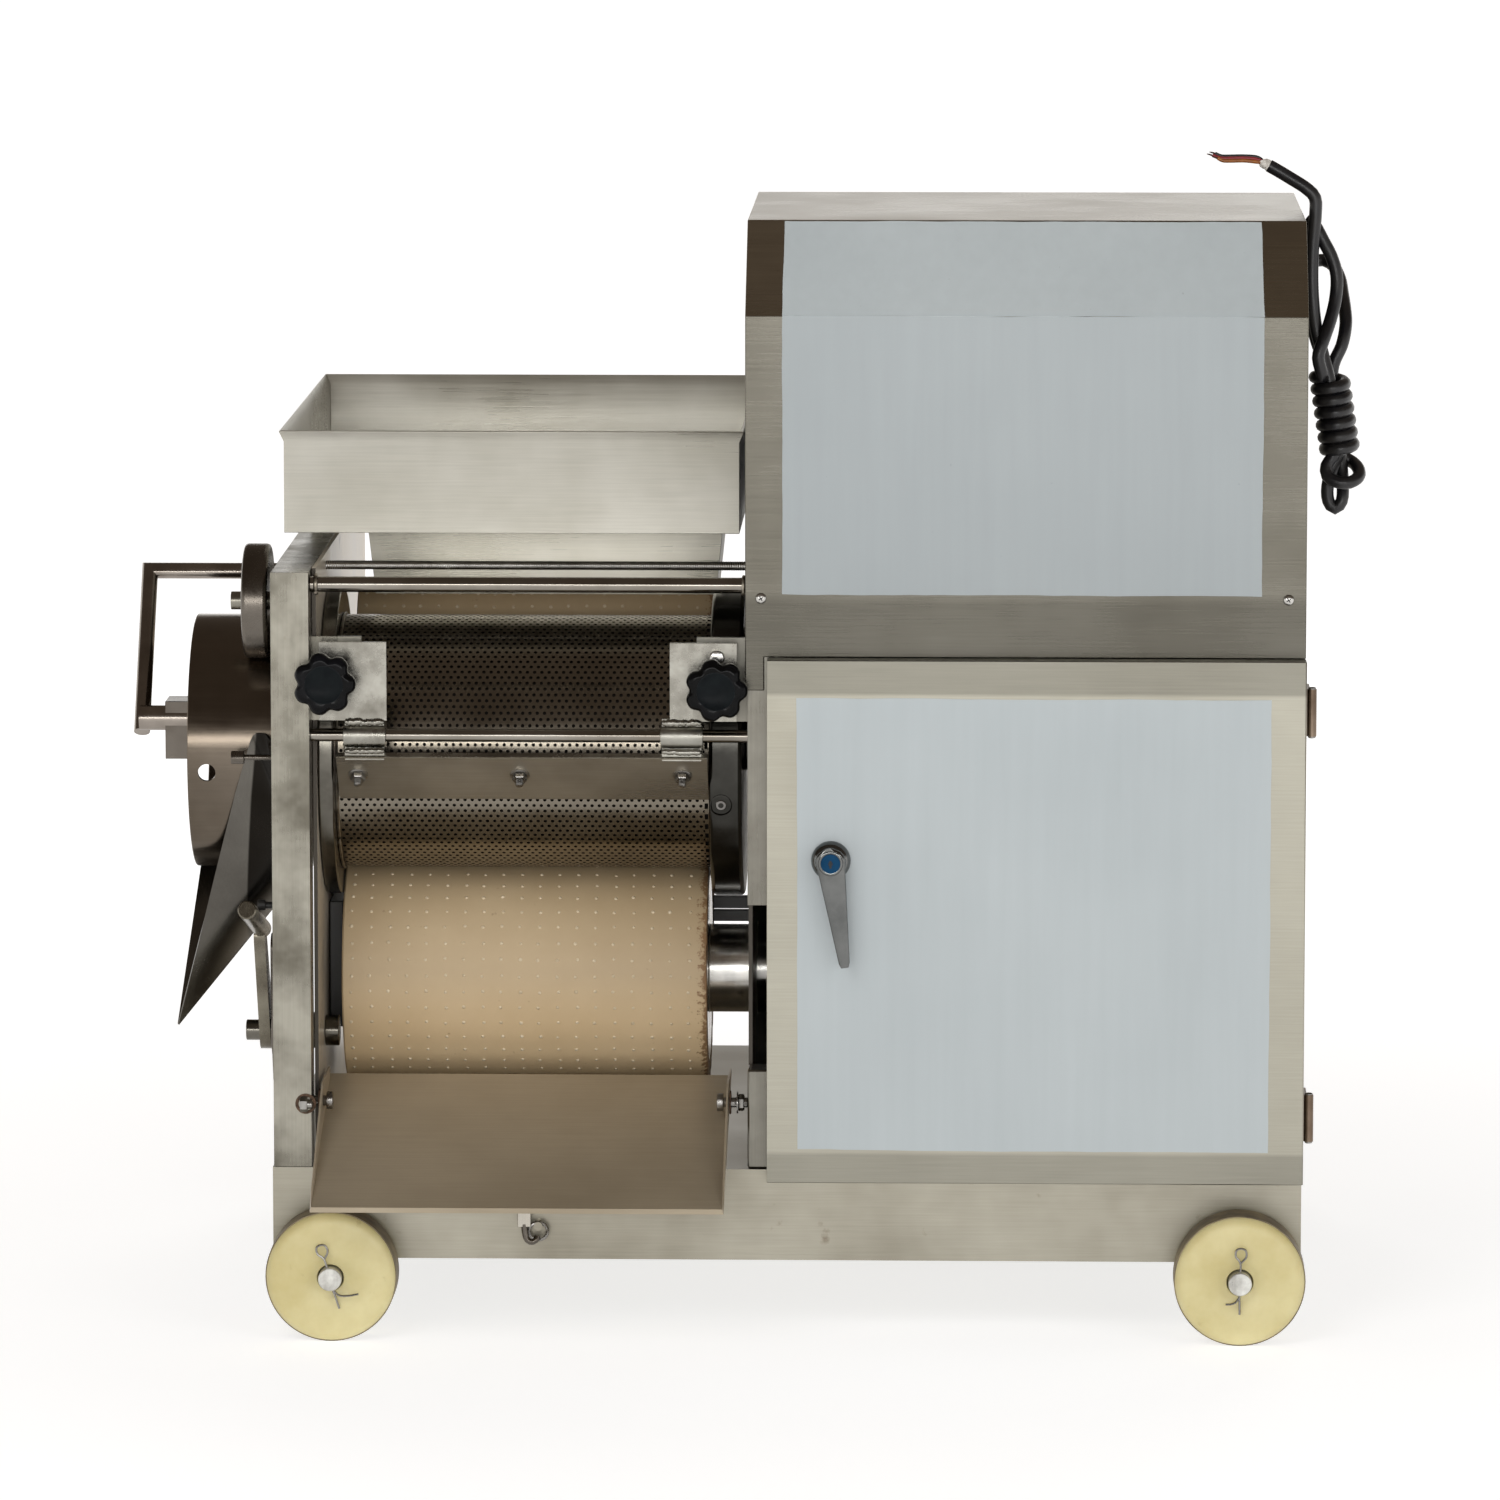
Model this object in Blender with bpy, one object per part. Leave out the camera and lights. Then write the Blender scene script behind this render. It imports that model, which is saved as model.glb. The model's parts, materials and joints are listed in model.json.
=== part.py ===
"""Belt and drum separator on four nylon wheels.

All sizes are in metres. The machine's own frame has X from the base's left edge, Y from
its front plane towards the back and Z up from the floor. The empty named "machine" moves
that frame so that the part's origin is the centre of its footprint on the floor.
"""
import math

import bmesh
import bpy
from mathutils import Matrix, Vector

# ---------------------------------------------------------------- driving dimensions
GAP = 0.0003                     # clearance between pieces that touch
SHEET = 0.0015                   # folded stainless sheet
PLATE = 0.003                    # side plates

BASE_WIDTH = 0.786
BASE_DEPTH = 0.570
BASE_TOP = 0.1273
BASE_BOTTOM = 0.057
WHEEL_RADIUS = 0.050
WHEEL_WIDTH = 0.040
WHEEL_FROM_BASE = 0.005
AXLE_RADIUS = 0.009
AXLE_X = {"left": 0.047, "right": 0.7385}
AXLE_REACH = 0.053               # how far an axle stands out of the base, front and rear

TUBE = 0.030                     # square frame tube
RAIL_HEIGHT = 0.040
FRAME_LEFT = 0.001
FRAME_TOP = 0.585
FRAME_REAR = 0.570
LEFT_PLATE_X = 0.0305
RIGHT_PLATE_X = 0.3633
RIGHT_POST_BREAK = (0.2040, 0.3310)

DRUM = Vector((0.0, 0.150, 0.437))
DRUM_RADIUS = 0.098
DRUM_WALL = 0.003
DRUM_LEFT = -0.068
DRUM_RIGHT = 0.3323
FLANGE_RADIUS = 0.119
LEFT_FLANGE = (0.0345, 0.0455)
RIGHT_FLANGE = (0.3327, 0.3579)
DRUM_SHAFT_RADIUS = 0.022
DRUM_SHAFT_END = 0.420

MODULE = 0.004                   # gear module
DRUM_TEETH = 48
ROLLER_TEETH = 46
PINION_TEETH = 20
GEAR_X = (0.395, 0.413)
DRIVE_DIRECTION = math.radians(-78)
PINION_DIRECTION = DRIVE_DIRECTION + math.radians(135)

BELT_THICKNESS = 0.016
BELT_GAP = 0.0005                # between the drum and the belt at the nip
BELT_X = (0.0463, 0.3290)
DRIVE_HUB_RADIUS = 0.0345
ROLLER_SHAFT_RADIUS = 0.015
UPPER_ROLLER = Vector((0.0, 0.325, 0.495))
UPPER_BELT_RADIUS = 0.048
UPPER_SHAFT_RADIUS = 0.010

SUPPORT_ROLLER_RADIUS = 0.044
SUPPORT_ROLLER_X = (-0.024, -0.004)
SUPPORT_DIRECTION = math.radians(123.8)
SUPPORT_PIN_RADIUS = 0.007
SUPPORT_PIN_LEFT = -0.0346

ARM_X = -0.111                   # auger arm's upright rod
ARM_RADIUS = 0.0063
ARM_FOOT_Z = 0.4440              # lower end of the arm's upright
ARM_TOP = Vector((0.0, 0.220, 0.561))
AUGER_CORE_RADIUS = 0.0095

TIE_ROD = Vector((0.0, 0.015, 0.5745))
TIE_ROD_RADIUS = 0.006
THREADED_ROD = Vector((0.0, 0.132, 0.5760))
THREADED_ROD_RADIUS = 0.0035

SCRAPER = Vector((0.0, 0.015, 0.459))
SCRAPER_ROD_RADIUS = 0.005
SCRAPER_SLOPE = math.radians(-43.9)
SCRAPER_TOP = Vector((0.0, 0.011, 0.446))
SCRAPER_X = (0.0495, 0.3325)
KNOBS = {"left": Vector((0.0430, 0.0, 0.502)), "right": Vector((0.3400, 0.0, 0.498))}
KNOB_RADIUS = 0.0228
KNOB_LOBES = 7

LEVER = Vector((0.0, 0.100, 0.217))
LEVER_TIP = Vector((0.0, 0.046, 0.299))
LEVER_X = (-0.0165, -0.0080)
LEVER_SHAFT_RADIUS = 0.008
GRIP_ROOT = Vector((-0.0108, 0.047, 0.3045))
GRIP_END = Vector((-0.0155, -0.035, 0.3315))
GRIP_RADIUS = 0.0072

TRAY_PIVOT = Vector((0.0, 0.015, 0.1765))
TRAY_X = (0.0365, 0.3485)
TRAY_FRONT = (-0.110, 0.1126)
TRAY_REAR = (0.085, 0.1845)
TRAY_LIP = 0.0016                # how far the sheet's cut edge stands past its front corner
TRAY_BOLT_RADIUS = 0.004

HOPPER_X = (0.0030, 0.3540)
HOPPER_Y = (0.1130, 0.5790)
HOPPER_Z = (0.6030, 0.6815)
HOPPER_FLARE = 0.0035
SADDLE_Y = (0.345, 0.530)        # block on the left frame that the hopper rests on
THROAT_X = (0.0610, 0.3390)
THROAT_Y = (0.2000, 0.3300)
THROAT_BOTTOM = 0.5450

HOOD_X = (0.3615, 0.7863)
HOOD_BOTTOM = 0.5215
HOOD_TONGUE = (0.376, 0.030, 0.496)      # X reach, Y reach and lower end
HOOD_FOLD = 0.781
HOOD_TOP = 0.8484
HOOD_TOP_Y = (0.068, 0.365)

REAR_PANEL_Y = BASE_DEPTH - 2 * SHEET    # front face of the cabinet's rear panel

DOOR_X = (0.3785, 0.7865)
DOOR_Z = (0.1206, 0.5215)
DOOR_Y = (-0.0200, -0.0004)
HINGE = Vector((0.7908, -0.010, 0.0))
HINGE_RADIUS = 0.0035
HINGE_HEIGHTS = {"upper": 0.482, "lower": 0.171}
HINGE_LENGTH = 0.036
HANDLE = Vector((0.4272, 0.0, 0.369))
HANDLE_END = Vector((0.4380, 0.0, 0.2900))
SPINDLE_RADIUS = 0.004

CORD_RADIUS = 0.005
GLAND = Vector((0.0, 0.300, 0.800))
GLAND_NOSE = 0.8030
HANK_TOP = Vector((0.8085, 0.204, 0.8430))
HANK_BOTTOM = Vector((0.8185, 0.204, 0.6080))
HANK_WIDTH = 0.033
HANK_DEPTH = 0.050
LEAD_ROUTE = ((0.8034, 0.300, 0.800), (0.8080, 0.300, 0.800), (0.8150, 0.292, 0.7965),
              (0.8195, 0.272, 0.7880), (0.8205, 0.250, 0.7775), (0.8205, 0.238, 0.7730),
              (0.8205, 0.2293, 0.7725))
TAIL_ROUTE = ((0.7990, 0.199, 0.8436), (0.7990, 0.199, 0.8480), (0.7970, 0.199, 0.8565),
              (0.7900, 0.199, 0.8640), (0.7790, 0.199, 0.8710), (0.7690, 0.199, 0.8770),
              (0.7610, 0.199, 0.8815))

BOX_LEFT = ARM_X - ARM_RADIUS
BOX_RIGHT = HINGE.x + HINGE_RADIUS
BOX_FRONT = TRAY_FRONT[0] - TRAY_LIP
BOX_REAR = BASE_DEPTH + AXLE_REACH
ORIGIN = Vector(((BOX_LEFT + BOX_RIGHT) / 2, (BOX_FRONT + BOX_REAR) / 2, 0.0))

GEAR_CENTRES = MODULE * (DRUM_TEETH + ROLLER_TEETH) / 2
BELT_RADIUS = GEAR_CENTRES - DRUM_RADIUS - BELT_GAP
DRIVE_ROLLER_RADIUS = BELT_RADIUS - BELT_THICKNESS - GAP


def toward(centre, angle, distance):
    """The point at a distance and an angle from centre, in the plane across X."""
    return centre + distance * Vector((0.0, math.cos(angle), math.sin(angle)))


DRIVE = toward(DRUM, DRIVE_DIRECTION, GEAR_CENTRES)
PINION = toward(DRUM, PINION_DIRECTION, MODULE * (DRUM_TEETH + PINION_TEETH) / 2)
SUPPORT = toward(DRUM, SUPPORT_DIRECTION, DRUM_RADIUS + SUPPORT_ROLLER_RADIUS + GAP)

# ---------------------------------------------------------------- scene and materials
for leftover in list(bpy.data.objects):
    bpy.data.objects.remove(leftover, do_unlink=True)

machine = bpy.data.objects.new("machine", None)
machine.location = -ORIGIN
bpy.context.scene.collection.objects.link(machine)


def finish(name, colour, roughness, metallic):
    material = bpy.data.materials.new(name)
    material.use_nodes = True
    shader = material.node_tree.nodes["Principled BSDF"]
    shader.inputs["Base Color"].default_value = (*colour, 1.0)
    shader.inputs["Roughness"].default_value = roughness
    shader.inputs["Metallic"].default_value = metallic
    return material


FINISH = {
    "steel": finish("steel", (0.55, 0.53, 0.47), 0.35, 1.0),
    "polished": finish("polished", (0.42, 0.39, 0.35), 0.22, 1.0),
    "dark_steel": finish("dark_steel", (0.12, 0.11, 0.10), 0.45, 1.0),
    "gear_steel": finish("gear_steel", (0.30, 0.29, 0.28), 0.40, 1.0),
    "nylon": finish("nylon", (0.76, 0.71, 0.40), 0.45, 0.0),
    "belt": finish("belt", (0.50, 0.38, 0.22), 0.60, 0.0),
    "black": finish("black", (0.015, 0.015, 0.017), 0.25, 0.0),
    "rubber": finish("rubber", (0.02, 0.02, 0.02), 0.55, 0.0),
    "motor": finish("motor", (0.10, 0.16, 0.24), 0.50, 0.3),
}

# ---------------------------------------------------------------- shape helpers
PLANES = {"X": (1, 2, 0), "Y": (0, 2, 1), "Z": (0, 1, 2)}


def along(axis, u, v, position):
    """A point from its two coordinates across an axis and its position along it."""
    first, second, third = PLANES[axis]
    point = Vector((0.0, 0.0, 0.0))
    point[first] = u
    point[second] = v
    point[third] = position
    return point


def loft(rings, closed=False):
    """A skin over rings of equal length; open ends are capped, closed ones joined."""
    shape = bmesh.new()
    rows = [[shape.verts.new(point) for point in ring] for ring in rings]
    count = len(rows[0])
    pairs = list(zip(rows, rows[1:]))
    if closed:
        pairs.append((rows[-1], rows[0]))
    for row, following in pairs:
        for i in range(count):
            j = (i + 1) % count
            shape.faces.new((row[i], row[j], following[j], following[i]))
    if not closed:
        shape.faces.new(rows[0])
        shape.faces.new(rows[-1])
    bmesh.ops.recalc_face_normals(shape, faces=shape.faces)
    return shape


def prism(outline, axis, low, high):
    return loft([[along(axis, u, v, end) for u, v in outline] for end in (low, high)])


def box(low, high):
    outline = ((low[0], low[1]), (high[0], low[1]), (high[0], high[1]), (low[0], high[1]))
    return prism(outline, "Z", low[2], high[2])


def turned(profile, centre, axis, segments=32, hollow=False):
    """A round body: profile is (position, radius), about the axis through centre."""
    first, second, _ = PLANES[axis]
    rings = []
    for position, radius in profile:
        ring = []
        for i in range(segments):
            angle = 2 * math.pi * i / segments
            u = centre[first] + radius * math.cos(angle)
            v = centre[second] + radius * math.sin(angle)
            ring.append(along(axis, u, v, position))
        rings.append(ring)
    return loft(rings, closed=hollow)


def bar(centre, axis, radius, low, high, segments=24):
    return turned(((low, radius), (high, radius)), centre, axis, segments)


def ring(centre, axis, outer, inner, low, high, segments=32):
    profile = ((low, outer), (high, outer), (high, inner), (low, inner))
    return turned(profile, centre, axis, segments, hollow=True)


def arc(centre, radius, start, end, steps):
    """Points (u, v) from start to end angle, both ends included."""
    points = []
    for i in range(steps + 1):
        angle = start + (end - start) * i / steps
        points.append((centre[0] + radius * math.cos(angle),
                       centre[1] + radius * math.sin(angle)))
    return points


def link_outline(first, first_radius, second, second_radius, steps=8):
    """The outline of a link: two round ends joined by their outer tangents."""
    heading = math.atan2(second[1] - first[1], second[0] - first[0])
    span = math.hypot(second[0] - first[0], second[1] - first[1])
    lean = math.acos((first_radius - second_radius) / span)
    return (arc(second, second_radius, heading - lean, heading + lean, steps)
            + arc(first, first_radius, heading + lean, heading + 2 * math.pi - lean, steps))


def add(name, shape, material, origin=(0.0, 0.0, 0.0)):
    """A named piece with its origin at a point of the machine's frame."""
    origin = Vector(origin)
    bmesh.ops.translate(shape, verts=shape.verts, vec=-origin)
    mesh = bpy.data.meshes.new(name)
    shape.to_mesh(mesh)
    shape.free()
    mesh.shade_smooth()
    mesh.set_sharp_from_angle(angle=math.radians(32))
    mesh.materials.append(FINISH[material])
    piece = bpy.data.objects.new(name, mesh)
    piece.location = origin
    piece.parent = machine
    bpy.context.scene.collection.objects.link(piece)
    return piece


def combine(piece, shape, operation):
    """Joins a shape to a piece, or cuts it away, with an exact Boolean."""
    tool = add(piece.name + "_tool", shape, "steel")
    tool.hide_render = True
    tool.display_type = "WIRE"
    modifier = piece.modifiers.new(operation.lower(), "BOOLEAN")
    modifier.operation = operation
    modifier.object = tool
    modifier.solver = "EXACT"


def fold(name, points, faces, material, thickness, origin=(0.0, 0.0, 0.0), inward=True):
    """Folded sheet: flat faces on shared corners, thickened to one side."""
    shape = bmesh.new()
    corners = [shape.verts.new(point) for point in points]
    for face in faces:
        shape.faces.new([corners[i] for i in face])
    bmesh.ops.recalc_face_normals(shape, faces=shape.faces)
    piece = add(name, shape, material, origin)
    modifier = piece.modifiers.new("thickness", "SOLIDIFY")
    modifier.thickness = thickness
    modifier.offset = -1.0 if inward else 1.0
    modifier.use_even_offset = True
    return piece


def smooth_route(route, spacing):
    """Points a spacing apart on a smooth curve through a route's own points."""
    knots = [Vector(point) for point in route]
    knots = [2 * knots[0] - knots[1]] + knots + [2 * knots[-1] - knots[-2]]
    fine = []
    for before, start, end, after in zip(knots, knots[1:], knots[2:], knots[3:]):
        for i in range(24):
            t = i / 24
            fine.append(0.5 * (2 * start + (end - before) * t
                               + (2 * before - 5 * start + 4 * end - after) * t ** 2
                               + (3 * start - before - 3 * end + after) * t ** 3))
    fine.append(knots[-2])
    length = sum((b - a).length for a, b in zip(fine, fine[1:]))
    count = max(2, round(length / spacing))
    stub = 0.002
    first = fine[0] + stub * (fine[1] - fine[0]).normalized()
    last = fine[-1] + stub * (fine[-2] - fine[-1]).normalized()
    middle = []
    travelled = 0.0
    for start, end in zip(fine, fine[1:]):
        step = (end - start).length
        while len(middle) < count - 1 and travelled + step >= (len(middle) + 1) * length / count:
            share = ((len(middle) + 1) * length / count - travelled) / step
            middle.append(start.lerp(end, share))
        travelled += step
    return [fine[0], first] + middle + [last, fine[-1]]


def tube(name, points, radius, material, resolution=2):
    """A round rod or cord along points, as a curve with a bevel and filled ends."""
    curve = bpy.data.curves.new(name, "CURVE")
    curve.dimensions = "3D"
    curve.bevel_depth = radius
    curve.bevel_resolution = resolution
    curve.use_fill_caps = True
    spline = curve.splines.new("POLY")
    spline.points.add(len(points) - 1)
    for target, point in zip(spline.points, points):
        target.co = (*point, 1.0)
    curve.materials.append(FINISH[material])
    piece = bpy.data.objects.new(name, curve)
    piece.parent = machine
    bpy.context.scene.collection.objects.link(piece)
    return piece


def mitred_rod(start, corner, end, radius, segments):
    """A round rod that turns once, with its two lengths mitred together."""
    first = (corner - start).normalized()
    second = (end - corner).normalized()
    side = first.cross(second).normalized()
    other = first.cross(side)
    bisector = first + second
    rings = [[], [], []]
    for i in range(segments):
        angle = 2 * math.pi * i / segments
        reach = radius * (math.cos(angle) * side + math.sin(angle) * other)
        seam = corner + reach - first * reach.dot(bisector) / first.dot(bisector)
        rings[0].append(start + reach)
        rings[1].append(seam)
        rings[2].append(seam + second * (end - seam).dot(second))
    return loft(rings)


def hex_bolt(name, centre, head, shank, head_radius, shank_radius, material):
    """A bolt along X: its head and its shank are each given as (start, end)."""
    profile = ((head[0], head_radius), (head[1], head_radius),
               (shank[0], shank_radius), (shank[1], shank_radius))
    return add(name, turned(profile, centre, "X", 12), material, centre)


# ---------------------------------------------------------------- base, axles and wheels
def build_base():
    x0, x1, y0, y1 = 0.0, BASE_WIDTH, 0.0, BASE_DEPTH
    corners = [(x, y, z) for z in (BASE_BOTTOM, BASE_TOP)
               for x, y in ((x0, y0), (x1, y0), (x1, y1), (x0, y1))]
    faces = ((4, 5, 6, 7), (0, 1, 5, 4), (1, 2, 6, 5), (2, 3, 7, 6), (3, 0, 4, 7))
    pan = fold("base_pan", corners, faces, "steel", 0.0025)
    for x in AXLE_X.values():
        for y in (0.030, BASE_DEPTH - 0.036):
            hanger = box((x - 0.015, y, 0.034), (x + 0.015, y + 0.006, BASE_TOP - 0.001))
            combine(pan, hanger, "UNION")
    combine(pan, bar((0.2035, 0.0, 0.084), "Y", 0.0035, -0.0100, 0.001, 12), "UNION")
    for x in AXLE_X.values():
        bore = bar((x, 0.0, WHEEL_RADIUS), "Y", AXLE_RADIUS + 0.0005, -0.01, BASE_DEPTH + 0.01)
        combine(pan, bore, "DIFFERENCE")


def build_wheels():
    edge = 0.004
    for side, x in AXLE_X.items():
        centre = Vector((x, 0.0, WHEEL_RADIUS))
        axle = bar(centre, "Y", AXLE_RADIUS, -AXLE_REACH, BASE_DEPTH + AXLE_REACH)
        add("axle_" + side, axle, "polished", centre)
        starts = {"front": -WHEEL_FROM_BASE - WHEEL_WIDTH, "rear": BASE_DEPTH + WHEEL_FROM_BASE}
        for end, start in starts.items():
            stop = start + WHEEL_WIDTH
            bore = AXLE_RADIUS + 0.0005
            profile = ((start, bore), (start, WHEEL_RADIUS - edge), (start + edge, WHEEL_RADIUS),
                       (stop - edge, WHEEL_RADIUS), (stop, WHEEL_RADIUS - edge), (stop, bore))
            wheel = turned(profile, centre, "Y", 32, hollow=True)
            origin = (x, (start + stop) / 2, WHEEL_RADIUS)
            add("wheel_" + end + "_" + side, wheel, "nylon", origin)


# ---------------------------------------------------------------- left and right frames
def build_frames():
    left, right = FRAME_LEFT, FRAME_LEFT + TUBE - 0.001
    foot = BASE_TOP + GAP
    left_post = add("left_post_front", box((left, 0.0, foot), (right, TUBE, FRAME_TOP)), "steel")
    rear = add("left_rear_frame", box((left, FRAME_REAR - TUBE, foot), (right, FRAME_REAR, FRAME_TOP)),
               "steel")
    rail = box((left, TUBE + GAP, FRAME_TOP - RAIL_HEIGHT), (right, FRAME_REAR - 0.001, FRAME_TOP))
    combine(rear, rail, "UNION")
    pin = bar(SUPPORT, "X", SUPPORT_PIN_RADIUS, SUPPORT_PIN_LEFT, left + 0.005)
    combine(rear, pin, "UNION")
    saddle = box((0.006, SADDLE_Y[0], FRAME_TOP - 0.005), (0.029, SADDLE_Y[1], HOPPER_Z[0] - GAP))
    combine(rear, saddle, "UNION")

    plate = add("left_side_plate", box((LEFT_PLATE_X, TUBE + GAP, foot),
                                       (LEFT_PLATE_X + PLATE, FRAME_REAR - 0.010, FRAME_TOP)), "steel")
    cut_x = (LEFT_PLATE_X - 0.01, LEFT_PLATE_X + 0.02)
    combine(plate, bar(DRUM, "X", DRUM_RADIUS + 0.002, *cut_x, 56), "DIFFERENCE")
    combine(plate, bar(DRIVE, "X", ROLLER_SHAFT_RADIUS + 0.002, *cut_x), "DIFFERENCE")
    combine(plate, bar(UPPER_ROLLER, "X", UPPER_SHAFT_RADIUS + 0.0005, *cut_x), "DIFFERENCE")
    combine(plate, bar(LEVER, "X", LEVER_SHAFT_RADIUS + 0.0006, *cut_x), "DIFFERENCE")

    plate = add("right_side_plate", box((RIGHT_PLATE_X, TUBE + 0.0012, foot),
                                        (RIGHT_PLATE_X + PLATE, 0.5665, 0.600)), "steel")
    cut_x = (RIGHT_PLATE_X - 0.01, RIGHT_PLATE_X + 0.02)
    combine(plate, bar(DRUM, "X", DRUM_SHAFT_RADIUS + 0.002, *cut_x), "DIFFERENCE")
    combine(plate, bar(DRIVE, "X", DRIVE_HUB_RADIUS + 0.003, *cut_x), "DIFFERENCE")
    combine(plate, bar(UPPER_ROLLER, "X", UPPER_SHAFT_RADIUS + 0.0005, *cut_x), "DIFFERENCE")

    front, back = SHEET + GAP, TUBE + 0.0008
    post_x = (RIGHT_PLATE_X, RIGHT_PLATE_X + 0.028)
    lower, upper = RIGHT_POST_BREAK
    add("right_post_lower", box((post_x[0], front, foot), (post_x[1], back, lower)), "steel")
    right_post = add("right_post_upper", box((post_x[0], front, upper), (post_x[1], back, 0.600)), "steel")

    low, high, hood_edge = 0.4690, 0.5335, HOOD_TONGUE[2] - GAP
    left_tab = ((left + 0.002, low), (0.0685, low), (0.0685, high), (left + 0.002, high))
    right_tab = ((0.3240, low), (post_x[0] + 0.002, low), (post_x[0] + 0.002, hood_edge),
                 (HOOD_X[0] - GAP, hood_edge), (HOOD_X[0] - GAP, high), (0.3240, high))
    for post, side, outline in ((left_post, "left", left_tab), (right_post, "right", right_tab)):
        combine(post, prism(outline, "Y", 0.0240, 0.0280), "UNION")
        combine(post, bar(KNOBS[side], "Y", 0.0045, 0.020, 0.032), "DIFFERENCE")

    span = (FRAME_LEFT + TUBE - 0.001 + GAP, HOOD_X[0] - GAP)
    add("tie_rod", bar(TIE_ROD, "X", TIE_ROD_RADIUS, *span, 16), "polished", TIE_ROD)
    span = (LEFT_PLATE_X + PLATE + GAP, HOOD_X[0] - GAP)
    add("threaded_rod", bar(THREADED_ROD, "X", THREADED_ROD_RADIUS, *span, 12), "dark_steel", THREADED_ROD)


# ---------------------------------------------------------------- drum
def gear(name, centre, teeth, tooth_angle, bore):
    """A spur gear across X with one tooth's middle at tooth_angle."""
    pitch = MODULE * teeth / 2
    root = pitch - 1.25 * MODULE
    tip = pitch + 0.9 * MODULE
    step = 2 * math.pi / teeth
    outline = []
    for i in range(teeth):
        middle = tooth_angle + i * step
        for share, radius in ((-0.31, root), (-0.13, tip), (0.13, tip), (0.31, root)):
            angle = middle + share * step
            outline.append((centre[1] + radius * math.cos(angle), centre[2] + radius * math.sin(angle)))
    wheel = add(name, prism(outline, "X", *GEAR_X), "gear_steel", centre)
    if bore:
        cutter = bar(centre, "X", bore, GEAR_X[0] - 0.01, GEAR_X[1] + 0.01)
        combine(wheel, cutter, "DIFFERENCE")
    return wheel


def build_drum():
    inner = DRUM_RADIUS - DRUM_WALL
    shell = ring(DRUM, "X", DRUM_RADIUS, inner, DRUM_LEFT, DRUM_RIGHT, 56)
    add("drum_shell", shell, "polished", DRUM)
    collar = ring(DRUM, "X", FLANGE_RADIUS, DRUM_RADIUS + GAP, *LEFT_FLANGE, 56)
    add("drum_flange_left", collar, "polished", DRUM)
    edge = 0.002
    profile = ((RIGHT_FLANGE[0], FLANGE_RADIUS - edge), (RIGHT_FLANGE[0] + edge, FLANGE_RADIUS),
               (RIGHT_FLANGE[1] - edge, FLANGE_RADIUS), (RIGHT_FLANGE[1], FLANGE_RADIUS - edge),
               (RIGHT_FLANGE[1], DRUM_SHAFT_RADIUS), (DRUM_SHAFT_END, DRUM_SHAFT_RADIUS))
    add("drum_flange_right", turned(profile, DRUM, "X", 48), "polished", DRUM)
    start = RIGHT_PLATE_X + PLATE + GAP
    housing_bore = DRUM_SHAFT_RADIUS + 0.0005
    profile = ((start, 0.055), (start + 0.008, 0.055), (start + 0.008, 0.040),
               (start + 0.020, 0.038), (start + 0.020, housing_bore), (start, housing_bore))
    add("drum_bearing", turned(profile, DRUM, "X", 32, hollow=True), "gear_steel", DRUM)
    gear("drum_gear", DRUM, DRUM_TEETH, DRIVE_DIRECTION, DRUM_SHAFT_RADIUS + GAP)


def build_auger():
    """A fixed screw inside the drum that carries the pulp to the open end."""
    core_right, flight_left, flight_right = 0.327, -0.040, 0.322
    turns, steps, thickness = 3, 16, 0.003
    outer = DRUM_RADIUS - DRUM_WALL - 0.002
    inner = AUGER_CORE_RADIUS - 0.0035
    core = bar(DRUM, "X", AUGER_CORE_RADIUS, -0.0917, core_right, 18)
    auger = add("inner_auger", core, "polished", DRUM)
    sections = []
    for i in range(turns * steps + 1):
        angle = 2 * math.pi * i / steps
        x = flight_left + (flight_right - flight_left) * i / (turns * steps)
        section = []
        for radius, side in ((inner, -0.5), (outer, -0.5), (outer, 0.5), (inner, 0.5)):
            point = toward(DRUM, angle, radius)
            section.append(Vector((x + side * thickness, point.y, point.z)))
        sections.append(section)
    combine(auger, loft(sections), "UNION")

    corner = Vector((ARM_X, ARM_TOP.y, ARM_TOP.z))
    start = Vector((FRAME_LEFT - GAP, ARM_TOP.y, ARM_TOP.z))
    end = Vector((ARM_X, DRUM.y - 0.008, ARM_FOOT_Z))
    arm = add("auger_arm", mitred_rod(start, corner, end, ARM_RADIUS, 16), "dark_steel", DRUM)
    foot = Vector((0.0, end.y + 0.002, ARM_FOOT_Z + 0.0110))
    combine(arm, bar(foot, "X", AUGER_CORE_RADIUS, ARM_X - 0.001, -0.092 - GAP, 20), "UNION")
    clamp_box = box((-0.092, DRUM.y - 0.017, DRUM.z - 0.013), (-0.070, DRUM.y + 0.017, DRUM.z + 0.032))
    clamp = add("auger_clamp", clamp_box, "polished", DRUM)
    combine(clamp, bar(DRUM, "X", AUGER_CORE_RADIUS + GAP, -0.1, -0.06, 20), "DIFFERENCE")


def build_support_roller():
    low, high = SUPPORT_ROLLER_X
    edge = 0.002
    bore = SUPPORT_PIN_RADIUS + 0.0005
    profile = ((low, bore), (low, SUPPORT_ROLLER_RADIUS - edge), (low + edge, SUPPORT_ROLLER_RADIUS),
               (high - edge, SUPPORT_ROLLER_RADIUS), (high, SUPPORT_ROLLER_RADIUS - edge), (high, bore))
    add("support_roller", turned(profile, SUPPORT, "X", 32, hollow=True), "dark_steel", SUPPORT)


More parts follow.
